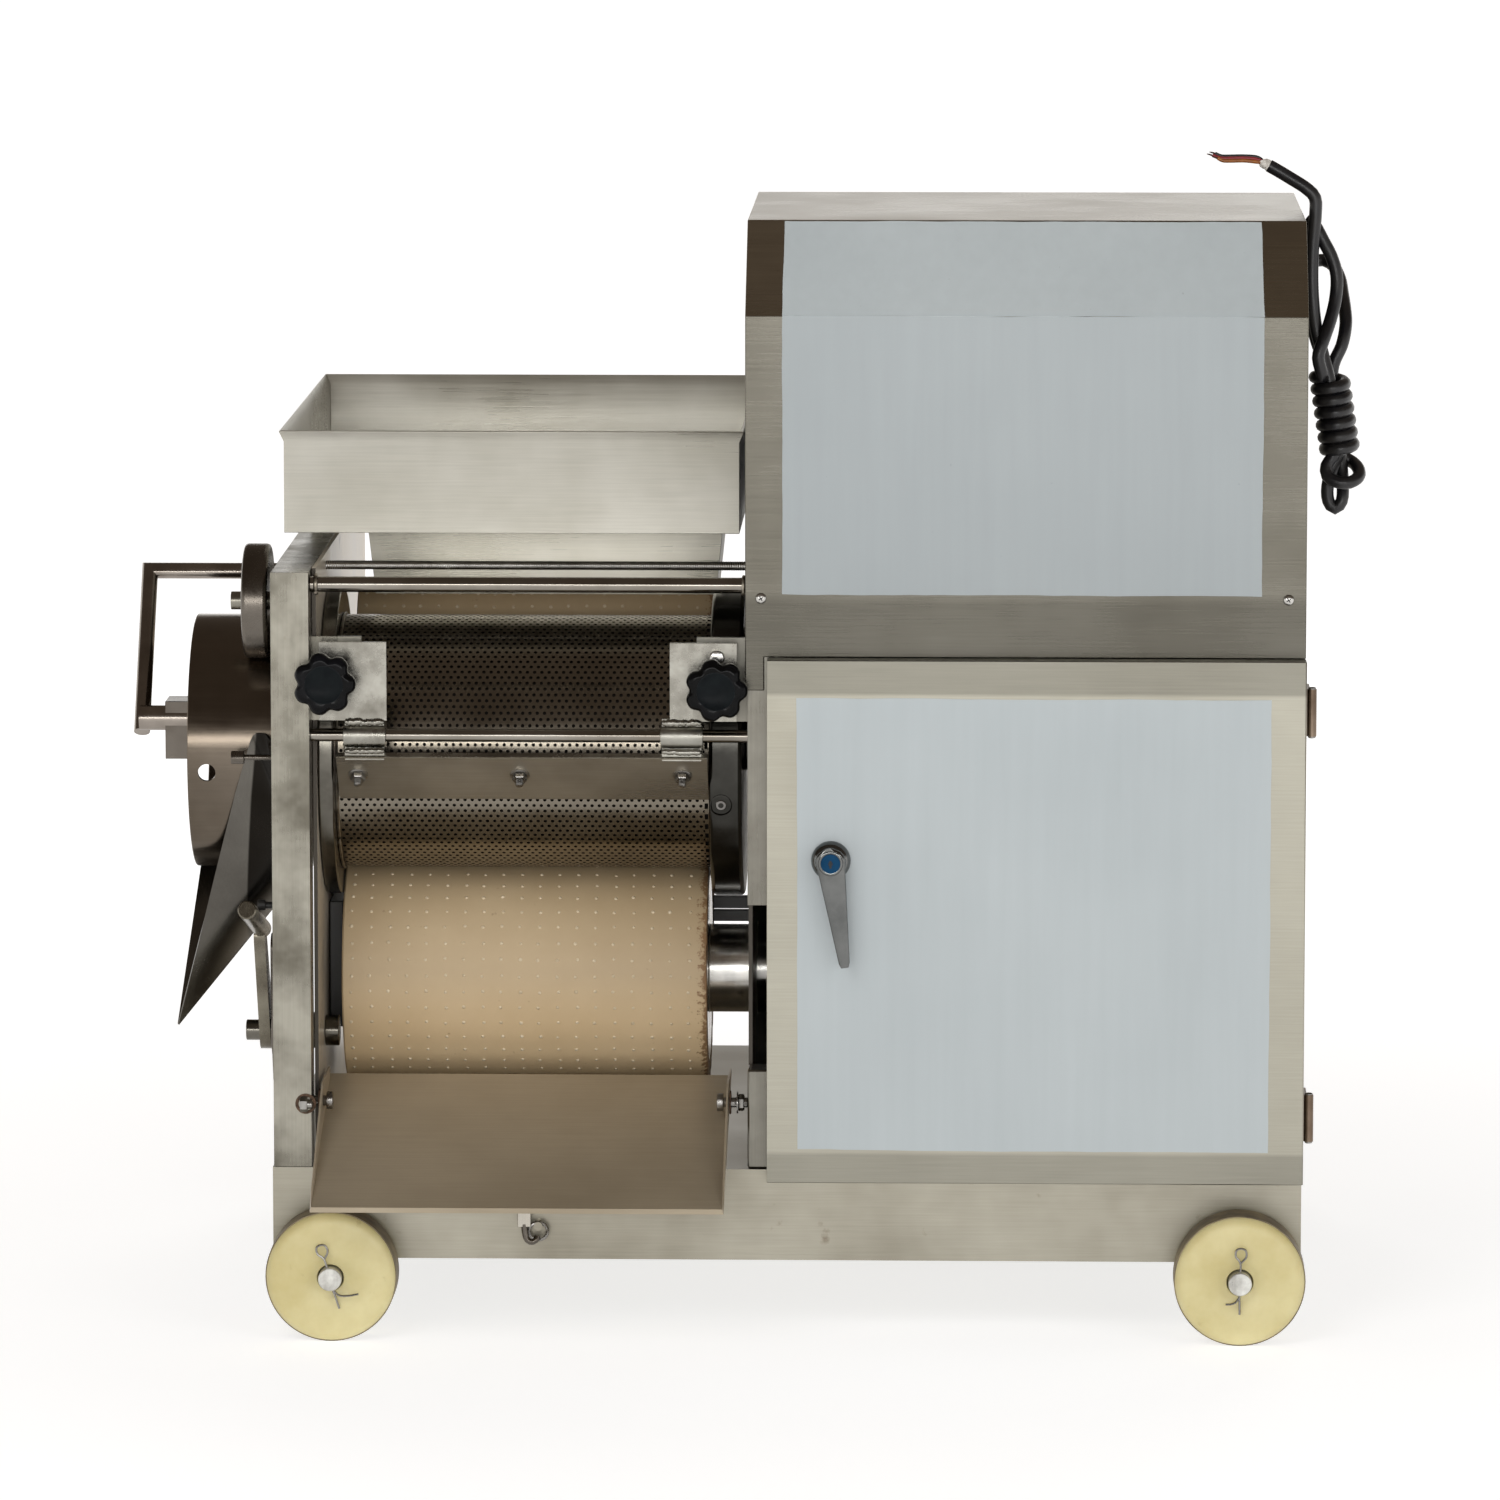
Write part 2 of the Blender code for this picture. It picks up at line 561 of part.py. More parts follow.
# ---------------------------------------------------------------- belt and its rollers
def belt_loop(offset):
    """The belt's loop at a depth under its outer face, as (Y, Z) points."""
    drum, drive, upper = ((p.y, p.z) for p in (DRUM, DRIVE, UPPER_ROLLER))
    drive_radius = BELT_RADIUS - offset
    upper_radius = UPPER_BELT_RADIUS - offset
    drum_radius = DRUM_RADIUS + BELT_GAP + offset
    rise = UPPER_ROLLER - DRIVE
    rear = math.atan2(rise.z, rise.y) - math.acos((BELT_RADIUS - UPPER_BELT_RADIUS) / rise.length)
    reach = UPPER_ROLLER - DRUM
    crossing = math.acos((DRUM_RADIUS + BELT_GAP + UPPER_BELT_RADIUS) / reach.length)
    leave = math.atan2(reach.z, reach.y) - crossing
    facing = DRIVE_DIRECTION + math.pi
    points = arc(drive, drive_radius, facing, rear + 2 * math.pi, 40)
    points += arc(upper, upper_radius, rear, leave + math.pi, 24)
    points += arc(drum, drum_radius, leave, DRIVE_DIRECTION, 10)[:-1]
    return points


def build_belt():
    loops = []
    for offset, x in ((0.0, BELT_X[0]), (0.0, BELT_X[1]), (BELT_THICKNESS, BELT_X[1]),
                      (BELT_THICKNESS, BELT_X[0])):
        loops.append([Vector((x, y, z)) for y, z in belt_loop(offset)])
    add("rubber_belt", loft(loops, closed=True), "belt")

    body = (BELT_X[0] + 0.0005, BELT_X[1] - 0.0005)
    profile = ((0.0290, ROLLER_SHAFT_RADIUS), (body[0], ROLLER_SHAFT_RADIUS),
               (body[0], DRIVE_ROLLER_RADIUS), (body[1], DRIVE_ROLLER_RADIUS),
               (body[1], DRIVE_HUB_RADIUS), (0.380, DRIVE_HUB_RADIUS),
               (0.380, 0.020), (0.420, 0.020))
    add("drive_roller", turned(profile, DRIVE, "X", 48), "gear_steel", DRIVE)
    gear("drive_roller_gear", DRIVE, ROLLER_TEETH,
         DRIVE_DIRECTION + math.pi + math.pi / ROLLER_TEETH, 0.020 + GAP)

    radius = UPPER_BELT_RADIUS - BELT_THICKNESS - GAP
    profile = ((0.0260, UPPER_SHAFT_RADIUS), (body[0], UPPER_SHAFT_RADIUS), (body[0], radius),
               (body[1], radius), (body[1], UPPER_SHAFT_RADIUS), (0.372, UPPER_SHAFT_RADIUS))
    add("upper_roller", turned(profile, UPPER_ROLLER, "X", 32), "gear_steel", UPPER_ROLLER)

    x = (LEFT_PLATE_X + PLATE + GAP, LEFT_FLANGE[1] - 0.0003)
    block = add("roller_bearing_block", box((x[0], 0.140, 0.213), (x[1], 0.240, 0.312)), "black")
    combine(block, bar(DRIVE, "X", ROLLER_SHAFT_RADIUS + 0.0005, x[0] - 0.01, x[1] + 0.01), "DIFFERENCE")


# ---------------------------------------------------------------- drive
def build_drive():
    pinion = gear("motor_pinion", PINION, PINION_TEETH,
                  PINION_DIRECTION + math.pi + math.pi / PINION_TEETH, None)
    combine(pinion, bar(PINION, "X", 0.012, 0.388, 0.4297), "UNION")
    y, z = PINION.y, PINION.z
    shelf_top = z - 0.062
    reducer = box((0.430, y - 0.055, shelf_top + GAP), (0.495, y + 0.055, z + 0.058))
    add("gear_reducer", reducer, "motor", PINION)
    profile = ((0.4953, 0.0612), (0.505, 0.0612), (0.505, 0.0585), (0.665, 0.0585),
               (0.668, 0.0575), (0.700, 0.050))
    motor = add("drive_motor", turned(profile, PINION, "X", 32), "motor", PINION)
    feet = box((0.545, y - 0.055, shelf_top + GAP), (0.640, y + 0.055, shelf_top + 0.010))
    combine(motor, feet, "UNION")
    terminal_box = box((0.560, y - 0.035, z + 0.050), (0.630, y + 0.035, z + 0.098))
    combine(motor, terminal_box, "UNION")
    shelf = box((0.425, 0.140, shelf_top - 0.004), (0.706, REAR_PANEL_Y + 0.0005, shelf_top))
    return shelf


# ---------------------------------------------------------------- scraper
def across_scraper(along_slope, depth):
    """A (Y, Z) point from its place down the scraper's slope and its depth behind it."""
    down = (math.cos(SCRAPER_SLOPE), math.sin(SCRAPER_SLOPE))
    return (SCRAPER_TOP.y + along_slope * down[0] - depth * down[1],
            SCRAPER_TOP.z + along_slope * down[1] + depth * down[0])


def sloped_plate(start, end, front, back, x):
    outline = (across_scraper(start, front), across_scraper(end, front),
               across_scraper(end, back), across_scraper(start, back))
    return prism(outline, "X", *x)


def build_scraper():
    rod_span = (FRAME_LEFT + TUBE - 0.001 + GAP, RIGHT_PLATE_X - GAP)
    add("scraper_rod", bar(SCRAPER, "X", SCRAPER_ROD_RADIUS, *rod_span), "polished", SCRAPER)

    holder = sloped_plate(0.0, 0.052, -0.004, 0.0, SCRAPER_X)
    carrier = add("scraper_carrier", holder, "steel", SCRAPER)
    sleeves = {"left": (0.0555, 0.0875), "right": (0.2970, 0.3290)}
    plates = {"left": (0.0370, 0.0885), "right": (0.3040, 0.3550)}
    plate_y = (0.0080, 0.0120)
    for side in ("left", "right"):
        combine(carrier, bar(SCRAPER, "X", 0.0105, *sleeves[side]), "UNION")
        upright = box((plates[side][0], plate_y[0], 0.4710), (plates[side][1], plate_y[1], 0.5310))
        combine(carrier, upright, "UNION")
        x = sleeves[side]
        web = box((x[0] + 0.001, plate_y[0] + 0.0005, 0.4640), (x[1] - 0.001, plate_y[1] - 0.0005, 0.4730))
        combine(carrier, web, "UNION")
        seam = box((x[0] + 0.001, 0.0090, 0.4405), (x[1] - 0.001, 0.0160, 0.4520))
        combine(carrier, seam, "UNION")
    clearance = bar(SCRAPER, "X", SCRAPER_ROD_RADIUS + 0.0006, 0.02, 0.37)
    combine(carrier, clearance, "DIFFERENCE")
    for side, knob in KNOBS.items():
        combine(carrier, bar(knob, "Y", 0.0055, 0.0, 0.020), "DIFFERENCE")

    blade_end = 0.0603
    blade = sloped_plate(0.010, blade_end, GAP, 0.0028, SCRAPER_X)
    add("scraper_blade", blade, "belt", SCRAPER)

    for side, knob in KNOBS.items():
        add("knob_" + side, star_knob(knob), "black", knob)


def star_knob(centre):
    """A lobed hand knob with its stud, facing the front."""
    points = 5 * KNOB_LOBES
    depths = ((-0.0240, 0.80, True), (-0.0215, 0.97, True), (-0.0190, 1.0, True),
              (-0.0110, 1.0, True), (-0.0080, 0.86, True), (-0.0080, 0.0100, False),
              (-0.0020, 0.0090, False), (-0.0020, 0.0040, False), (0.0360, 0.0040, False))
    rings = []
    for y, size, lobed in depths:
        row = []
        for i in range(points):
            angle = 2 * math.pi * i / points
            radius = size
            if lobed:
                wave = math.cos(KNOB_LOBES * angle)
                radius = size * KNOB_RADIUS * (1 - 0.085 * (1 - wave))
            row.append(Vector((centre.x + radius * math.cos(angle), y,
                               centre.z + radius * math.sin(angle))))
        rings.append(row)
    return loft(rings)


# ---------------------------------------------------------------- belt pressure lever
def build_lever():
    profile = ((-0.0277, LEVER_SHAFT_RADIUS), (LEFT_PLATE_X + PLATE + GAP, LEVER_SHAFT_RADIUS),
               (LEFT_PLATE_X + PLATE + GAP, 0.012), (0.0445, 0.012))
    add("lever_shaft", turned(profile, LEVER, "X", 24), "polished", LEVER)

    outline = link_outline((LEVER.y, LEVER.z), 0.0145, (LEVER_TIP.y, LEVER_TIP.z), 0.009)
    lever = add("pressure_lever", prism(outline, "X", *LEVER_X), "steel", LEVER)
    heading = (GRIP_END - GRIP_ROOT).normalized()
    turn = Vector((0.0, 0.0, 1.0)).rotation_difference(heading).to_matrix().to_4x4()
    length = (GRIP_END - GRIP_ROOT).length
    grip = turned(((0.0, GRIP_RADIUS), (length - 0.001, GRIP_RADIUS), (length, GRIP_RADIUS - 0.001)),
                  (0.0, 0.0, 0.0), "Z", 20)
    bmesh.ops.transform(grip, matrix=Matrix.Translation(GRIP_ROOT) @ turn, verts=grip.verts)
    combine(lever, grip, "UNION")
    cutter = bar(LEVER, "X", LEVER_SHAFT_RADIUS + GAP, -0.03, 0.0)
    combine(lever, cutter, "DIFFERENCE")

    outline = link_outline((LEVER.y, LEVER.z), 0.022, (0.088, 0.283), 0.012)
    plate_x = (-0.0070, -0.0020)
    quadrant = add("lever_quadrant", prism(outline, "X", *plate_x), "dark_steel", LEVER)
    tip = ((LEVER.y - 0.020, LEVER.z), (LEVER.y + 0.018, LEVER.z), (LEVER.y + 0.020, 0.178),
           (LEVER.y - 0.004, 0.178))
    combine(quadrant, prism(tip, "X", *plate_x), "UNION")
    combine(quadrant, bar(LEVER, "X", 0.0140, plate_x[0] + 0.001, LEFT_PLATE_X - GAP), "UNION")
    combine(quadrant, bar(LEVER, "X", LEVER_SHAFT_RADIUS + 0.0006, -0.02, 0.05), "DIFFERENCE")


# ---------------------------------------------------------------- bone tray and its prop
def build_tray():
    x0, x1 = TRAY_X
    side = (TRAY_REAR, (TRAY_REAR[0], 0.191), (TRAY_PIVOT.y, 0.191), (-0.092, 0.1285), TRAY_FRONT)
    corners = [(x, y, z) for x in (x0, x1) for y, z in side]
    faces = ((0, 1, 2, 3, 4), (5, 9, 8, 7, 6), (0, 4, 9, 5))
    tray = fold("bone_tray", corners, faces, "steel", SHEET, TRAY_PIVOT)
    combine(tray, bar(TRAY_PIVOT, "X", TRAY_BOLT_RADIUS + 0.0005, x0 - 0.02, x1 + 0.02, 12), "DIFFERENCE")
    post = FRAME_LEFT + TUBE - 0.001 + GAP
    hex_bolt("tray_bolt_left", TRAY_PIVOT, (x0 + 0.009, x0 + 0.004), (x0 + 0.004, post), 0.0070,
             TRAY_BOLT_RADIUS, "steel")
    hex_bolt("tray_bolt_right", TRAY_PIVOT, (x1 - 0.009, x1 - 0.004), (x1 - 0.004, RIGHT_PLATE_X - GAP),
             0.0070, TRAY_BOLT_RADIUS, "steel")

    slope = (TRAY_REAR[1] - TRAY_FRONT[1]) / (TRAY_REAR[0] - TRAY_FRONT[0])
    prop_y = (-0.0130, -0.0090)
    under = [TRAY_FRONT[1] + slope * (y - TRAY_FRONT[0]) - 0.0025 for y in prop_y]
    outline = ((prop_y[0], 0.084), (prop_y[1], 0.084), (prop_y[1], under[1]), (prop_y[0], under[0]))
    add("tray_prop", prism(outline, "X", 0.1880, 0.1980), "polished", TRAY_PIVOT)


# ---------------------------------------------------------------- pulp chute
def build_chute():
    """A pointed scoop that starts against the left frame, round the drum's open end."""
    columns, rows = 14, 5
    start_x = FRAME_LEFT - 2 * GAP
    front_top = Vector((-0.017, 0.0265, 0.455))
    rear_top = Vector((-0.058, 0.2660, 0.445))
    tip = Vector((-0.086, 0.150, 0.2130))
    centre = Vector((0.0, 0.150, 0.445))
    corners = []
    for i in range(columns + 1):
        share = i / columns
        angle = math.pi * (1 + share)
        frame_edge = Vector((start_x, centre.y + 0.1235 * math.cos(angle),
                             centre.z + 0.1250 * math.sin(angle)))
        if share <= 0.5:
            lip = front_top.lerp(tip, 2 * share)
        else:
            lip = tip.lerp(rear_top, 2 * share - 1)
        for j in range(rows + 1):
            corners.append(frame_edge.lerp(lip, j / rows))
    faces = []
    for i in range(columns):
        for j in range(rows):
            a = i * (rows + 1) + j
            faces.append((a, a + 1, a + rows + 2, a + rows + 1))
    fold("pulp_chute", corners, faces, "polished", SHEET, inward=False)

    upper = Vector((0.0, 0.018, 0.441))
    lower = Vector((0.0, 0.0255, 0.3260))
    hex_bolt("chute_bolt_upper", upper, (-0.031, -0.021), (-0.021, FRAME_LEFT - GAP), 0.0050, 0.0022,
             "dark_steel")
    hex_bolt("chute_bolt_lower", lower, (-0.0122, -0.0061), (-0.0061, FRAME_LEFT - GAP), 0.0042, 0.0027,
             "black")


# ---------------------------------------------------------------- hopper
def build_hopper():
    def rectangle(x, y, grow):
        return ((x[0] - grow, y[0] - grow), (x[1] + grow, y[0] - grow),
                (x[1] + grow, y[1] + grow), (x[0] - grow, y[1] + grow))

    bottom, top = HOPPER_Z
    levels = ((THROAT_X, THROAT_Y, -0.006, THROAT_BOTTOM), (THROAT_X, THROAT_Y, 0.0, bottom),
              (HOPPER_X, HOPPER_Y, 0.0, bottom),
              (HOPPER_X, HOPPER_Y, 0.0, top - 0.008), (HOPPER_X, HOPPER_Y, HOPPER_FLARE, top))
    corners = []
    for x, y, grow, z in levels:
        corners += [(u, v, z) for u, v in rectangle(x, y, grow)]
    faces = []
    for level in range(len(levels) - 1):
        for i in range(4):
            a, b = 4 * level + i, 4 * level + (i + 1) % 4
            faces.append((a, b, b + 4, a + 4))
    fold("hopper", corners, faces, "steel", SHEET)


# ---------------------------------------------------------------- cabinet, hood and door
def build_cabinet(motor_shelf):
    right, rear = BASE_WIDTH - 0.0002, REAR_PANEL_Y + SHEET
    jamb, start = 0.765, RIGHT_PLATE_X + PLATE + 0.0015
    outline = ((jamb, SHEET), (right, SHEET), (right, rear), (start, rear),
               (start, rear - SHEET), (right - SHEET, rear - SHEET), (right - SHEET, 2 * SHEET),
               (jamb, 2 * SHEET))
    panel = add("cabinet_panel", prism(outline, "Z", BASE_TOP + GAP, HOOD_BOTTOM - GAP), "steel")
    combine(panel, motor_shelf, "UNION")

    reach_x, reach_y, low = HOOD_TONGUE
    x0, x1 = HOOD_X
    profile = ((0.0, HOOD_FOLD), (HOOD_TOP_Y[0], HOOD_TOP), (HOOD_TOP_Y[1], HOOD_TOP),
               (BASE_DEPTH, HOOD_FOLD), (BASE_DEPTH, HOOD_BOTTOM))
    corners = [(x, y, z) for x in (x0, x1) for y, z in profile]
    corners += [(x1, 0.0, HOOD_BOTTOM), (reach_x, 0.0, HOOD_BOTTOM), (reach_x, 0.0, low),
                (x0, 0.0, low), (x0, reach_y, low), (x0, reach_y, HOOD_BOTTOM)]
    faces = [(i, i + 1, i + 6, i + 5) for i in range(4)]
    faces += [(0, 5, 10, 11, 12, 13), (5, 6, 7, 8, 9, 10), (0, 13, 14, 15, 4, 3, 2, 1)]
    fold("hood", corners, faces, "steel", SHEET)

    x0, x1 = DOOR_X
    z0, z1 = DOOR_Z
    corners = [(x, y, z) for y in DOOR_Y for x, z in ((x0, z0), (x1, z0), (x1, z1), (x0, z1))]
    faces = [(0, 1, 2, 3)] + [(i, (i + 1) % 4, (i + 1) % 4 + 4, i + 4) for i in range(4)]
    door = fold("cabinet_door", corners, faces, "steel", SHEET, (HINGE.x, HINGE.y, z0))
    hole = bar(HANDLE, "Y", SPINDLE_RADIUS + 0.0006, -0.03, 0.0, 16)
    combine(door, hole, "DIFFERENCE")

    for name, height in HINGE_HEIGHTS.items():
        low, high = height - HINGE_LENGTH / 2, height + HINGE_LENGTH / 2
        knuckle = bar(HINGE, "Z", HINGE_RADIUS, low, high, 16)
        hinge = add("door_hinge_" + name, knuckle, "steel", (HINGE.x, HINGE.y, height))
        leaf = box((BASE_WIDTH + 0.0008, HINGE.y, low), (HINGE.x - 0.0015, 0.022, high))
        combine(hinge, leaf, "UNION")

    face = DOOR_Y[0]
    plate = turned(((face - GAP, 0.0150), (face - 0.005, 0.0150), (face - 0.007, 0.0130),
                    (face - 0.007, SPINDLE_RADIUS + 0.0006), (face - GAP, SPINDLE_RADIUS + 0.0006)),
                   HANDLE, "Y", 32, hollow=True)
    add("lock_escutcheon", plate, "polished", HANDLE)
    grip_y = (face - 0.0145, face - 0.0085)
    outline = link_outline((HANDLE.x, HANDLE.z), 0.0120, (HANDLE_END.x, HANDLE_END.z), 0.0040, 12)
    handle = add("door_handle", prism(outline, "Y", *grip_y), "polished", HANDLE)
    combine(handle, bar(HANDLE, "Y", 0.0100, grip_y[0] + 0.001, face - 0.0073), "UNION")
    combine(handle, bar(HANDLE, "Y", SPINDLE_RADIUS, grip_y[0] + 0.002, 0.008, 16), "UNION")
    cam_outline = link_outline((HANDLE.x, HANDLE.z), 0.010, (HANDLE.x - 0.022, HANDLE.z), 0.007)
    cam = add("latch_cam", prism(cam_outline, "Y", 0.0040, 0.0070), "gear_steel", HANDLE)
    combine(cam, bar(HANDLE, "Y", SPINDLE_RADIUS + GAP, -0.002, 0.014, 16), "DIFFERENCE")


# ---------------------------------------------------------------- mains cable
def build_cable():
    start = HOOD_X[1] + GAP
    profile = ((start, 0.0120), (start + 0.005, 0.0120), (start + 0.005, 0.0100),
               (start + 0.011, 0.0095), (GLAND_NOSE, 0.0070))
    add("cable_gland", turned(profile, GLAND, "X", 24), "black", GLAND)
    spacing = 5 * CORD_RADIUS
    tube("cable_lead", smooth_route(LEAD_ROUTE, 2 * spacing / 3), CORD_RADIUS, "rubber")
    tube("cable_tail", smooth_route(TAIL_ROUTE, 2 * spacing / 3), CORD_RADIUS, "rubber")
    half = HANK_WIDTH / 2
    lower = (HANK_BOTTOM.x, HANK_BOTTOM.z + half)
    outline = arc(lower, half, math.pi, 2 * math.pi, 10)
    outline += [(HANK_TOP.x + half, HANK_TOP.z), (HANK_TOP.x - half, HANK_TOP.z)]
    depth = (HANK_TOP.y - HANK_DEPTH / 2, HANK_TOP.y + HANK_DEPTH / 2)
    add("cable_hank", prism(outline, "Y", *depth), "rubber", HANK_TOP)


build_base()
build_wheels()
build_frames()
build_drum()
build_auger()
build_support_roller()
build_belt()
motor_shelf = build_drive()
build_scraper()
build_lever()
build_tray()
build_chute()
build_hopper()
build_cabinet(motor_shelf)
build_cable()
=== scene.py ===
"""Looks for the belt-and-drum separator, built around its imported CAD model.

Lengths are in metres. Positions are in the machine's own frame: X from the base's left
edge, Y from its front plane to the back, Z up from the floor. put() moves a piece from
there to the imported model's frame.
"""
import json
import math
import random

import bmesh
import bpy
from mathutils import Matrix, Vector

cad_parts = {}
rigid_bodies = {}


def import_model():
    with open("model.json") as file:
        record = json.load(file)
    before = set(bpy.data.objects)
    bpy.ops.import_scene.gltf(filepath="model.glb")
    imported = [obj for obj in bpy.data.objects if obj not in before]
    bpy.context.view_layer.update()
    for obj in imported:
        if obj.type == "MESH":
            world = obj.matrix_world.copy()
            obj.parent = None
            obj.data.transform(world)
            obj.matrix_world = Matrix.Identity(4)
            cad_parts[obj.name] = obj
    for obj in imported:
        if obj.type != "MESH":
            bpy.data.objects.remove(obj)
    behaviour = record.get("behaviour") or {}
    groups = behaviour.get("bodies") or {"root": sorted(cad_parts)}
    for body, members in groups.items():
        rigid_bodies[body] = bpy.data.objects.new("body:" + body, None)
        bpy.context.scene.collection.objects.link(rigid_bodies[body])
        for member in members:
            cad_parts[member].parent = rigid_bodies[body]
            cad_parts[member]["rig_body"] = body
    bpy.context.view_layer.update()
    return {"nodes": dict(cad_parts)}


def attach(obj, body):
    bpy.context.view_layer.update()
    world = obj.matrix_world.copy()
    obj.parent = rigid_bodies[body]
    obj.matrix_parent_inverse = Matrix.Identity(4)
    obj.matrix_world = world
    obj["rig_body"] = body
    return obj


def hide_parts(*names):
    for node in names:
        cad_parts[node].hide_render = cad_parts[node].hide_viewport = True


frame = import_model()
nodes = frame["nodes"]
ORIGIN = Vector((0.3385, 0.2557, 0.0))
STILL = "frame"
FRONT = (0.0, -1.0, 0.0)    # the way the machine faces
TAU = 2 * math.pi

# ------------------------------------------------------------------ camera
CAMERA = Vector((0.55578, -6.76898, 1.3626))
CAMERA_YAW, CAMERA_PITCH = 0.02814, 0.13388
LENS_MM, SENSOR_MM = 216.0, 36.0
camera_data = bpy.data.cameras.new("camera")
camera_data.lens, camera_data.sensor_width = LENS_MM, SENSOR_MM
camera = bpy.data.objects.new("camera", camera_data)
camera.location = CAMERA - ORIGIN
camera.rotation_euler = (math.pi / 2 - CAMERA_PITCH, 0.0, CAMERA_YAW)
bpy.context.scene.collection.objects.link(camera)
bpy.context.scene.camera = camera

# ------------------------------------------------------------------ materials
LOOK = {}
ALONG_GRAIN, ACROSS_GRAIN, NO_GRAIN = 14.0, 700.0, 420.0    # noise scales, per metre
FINE_BUMP = 0.0003                                          # height of the fine bumps


def shader(tree, kind, links=None, **settings):
    """A shader node with its settings; links holds input values or sockets."""
    made = tree.nodes.new("ShaderNode" + kind)
    for name, value in settings.items():
        setattr(made, name, value)
    for name, value in (links or {}).items():
        if isinstance(value, bpy.types.NodeSocket):
            tree.links.new(value, made.inputs[name])
        else:
            made.inputs[name].default_value = value
    return made


def blank(name, **sockets):
    """A new material, kept in LOOK under its name, as its tree and its surface."""
    LOOK[name] = bpy.data.materials.new(name)
    LOOK[name].use_nodes = True
    tree = LOOK[name].node_tree
    surface = tree.nodes["Principled BSDF"]
    for key, value in sockets.items():
        surface.inputs[key.replace("_", " ")].default_value = value
    return tree, surface


def rgb(tree, factor, low, high, low_at=0.3, high_at=0.7):
    """A colour that goes from low to high as factor does."""
    ramp = shader(tree, "ValToRGB", {"Fac": factor})
    for stop, place, colour in zip(ramp.color_ramp.elements, (low_at, high_at), (low, high)):
        stop.position = place
        stop.color = (*colour, 1.0)
    return ramp.outputs["Color"]


def mixed(tree, factor, first, second, blend="MIX"):
    """A blend of two colours; each value may be a socket, a colour or a number."""
    made = shader(tree, "Mix", data_type="RGBA", blend_type=blend)
    made.inputs["Factor"].default_value = 1.0
    for socket, value in ((made.inputs[0], factor), (made.inputs[6], first), (made.inputs[7], second)):
        if isinstance(value, bpy.types.NodeSocket):
            tree.links.new(value, socket)
        elif isinstance(value, tuple):
            socket.default_value = (*value, 1.0)
        else:
            socket.default_value = value
    return made.outputs[2]


def times(tree, colour, tone):
    """A colour multiplied by another."""
    return mixed(tree, 1.0, colour, tone, "MULTIPLY")


def spread(tree, value, low, high, from_low=0.3, from_high=0.7):
    """A value that goes from low to high while another goes from from_low to from_high."""
    made = shader(tree, "MapRange", {"Value": value, "From Min": from_low, "From Max": from_high,
                                     "To Min": low, "To Max": high})
    return made.outputs["Result"]


def summed(tree, first, second):
    return shader(tree, "Math", {0: first, 1: second}, operation="ADD").outputs[0]


def place_in(tree, kind="Object"):
    """Where a point lies in the part's own frame, in metres; with "Normal", where it faces."""
    return shader(tree, "TexCoord").outputs[kind]


def axis_value(tree, axis, kind="Object"):
    return shader(tree, "SeparateXYZ", {"Vector": place_in(tree, kind)}).outputs[axis]


def cloud(tree, scale, detail=3.0, stretch=(1.0, 1.0, 1.0), offset=(0.0, 0.0, 0.0)):
    """Noise in the part's own frame, stretched along its axes."""
    mapping = shader(tree, "Mapping", {"Vector": place_in(tree), "Scale": stretch, "Location": offset})
    made = shader(tree, "TexNoise", {"Vector": mapping.outputs["Vector"], "Scale": scale,
                                     "Detail": detail, "Roughness": 0.6})
    return made.outputs["Fac"]


def cover(tree, surface, tone, roughness, height, strength, distance=FINE_BUMP):
    """Gives a surface its colour, its roughness and its bumps."""
    tree.links.new(tone, surface.inputs["Base Color"])
    if roughness:
        tree.links.new(roughness, surface.inputs["Roughness"])
    bump = shader(tree, "Bump", {"Height": height, "Strength": strength, "Distance": distance})
    tree.links.new(bump.outputs["Normal"], surface.inputs["Normal"])


def steel(name, light, dark, roughness=0.34, grain="X", depth=0.12, mottle=7.0, shift=0.0,
          dirt=None, wear=0.06, metallic=1.0, bands=(), light_shade_by_facing=None, fold_shade=None):
    """Brushed or rolled steel with grain along an axis, broad tone changes and small marks.

    bands holds (height it starts at, height it ends at, tone) for stretches of another tone by height,
    painted light or shade on the hopper and the door;
    light_shade_by_facing holds (axis, where it starts, where it ends, tone) for painted light or shade on
    faces turned that way;
    fold_shade holds (direction, where it starts, where it ends, tone) for painted shade on the sheet past a
    crease line.
    """
    tree, surface = blank(name, Metallic=metallic)
    stretch = tuple(ALONG_GRAIN if axis == grain else ACROSS_GRAIN for axis in "XYZ")
    hair = cloud(tree, 1.0, 2.0, stretch if grain else (NO_GRAIN,) * 3)
    broad = cloud(tree, mottle, 4.0, offset=(shift, shift, shift))
    faint = (0.93 if grain else 0.97,) * 3
    colour = times(tree, rgb(tree, broad, dark, light, 0.32, 0.66),
                   rgb(tree, hair, faint, (1.03, 1.03, 1.03)))
    for start, end, tone in bands:
        share = spread(tree, axis_value(tree, "Z"), 0.0, 1.0, start, end)
        colour = mixed(tree, share, colour, times(tree, colour, (tone,) * 3))
    # painted light or shade on faces turned one way
    if light_shade_by_facing:
        axis, start, end, tone = light_shade_by_facing
        share = spread(tree, axis_value(tree, axis, "Normal"), 0.0, 1.0, start, end)
        colour = mixed(tree, share, colour, times(tree, colour, (tone, tone * 0.95, tone * 0.90)))
    # painted shade on the sheet past a crease line
    if fold_shade:
        heading, start, end, tone = fold_shade
        across = shader(tree, "VectorMath", {0: place_in(tree), 1: heading}, operation="DOT_PRODUCT")
        share = spread(tree, across.outputs["Value"], 0.0, 1.0, start, end)
        colour = mixed(tree, share, colour, times(tree, colour, tone))
    if dirt:
        spots = cloud(tree, 34.0, 5.0, offset=(3.0, shift, 1.0))
        colour = mixed(tree, spread(tree, spots, 0.0, 0.8, 0.66, 0.78), colour, dirt)
    uneven = summed(tree, spread(tree, broad, -wear, wear),
                    spread(tree, hair, roughness - 0.02, roughness + 0.03))
    cover(tree, surface, colour, uneven, hair, depth)


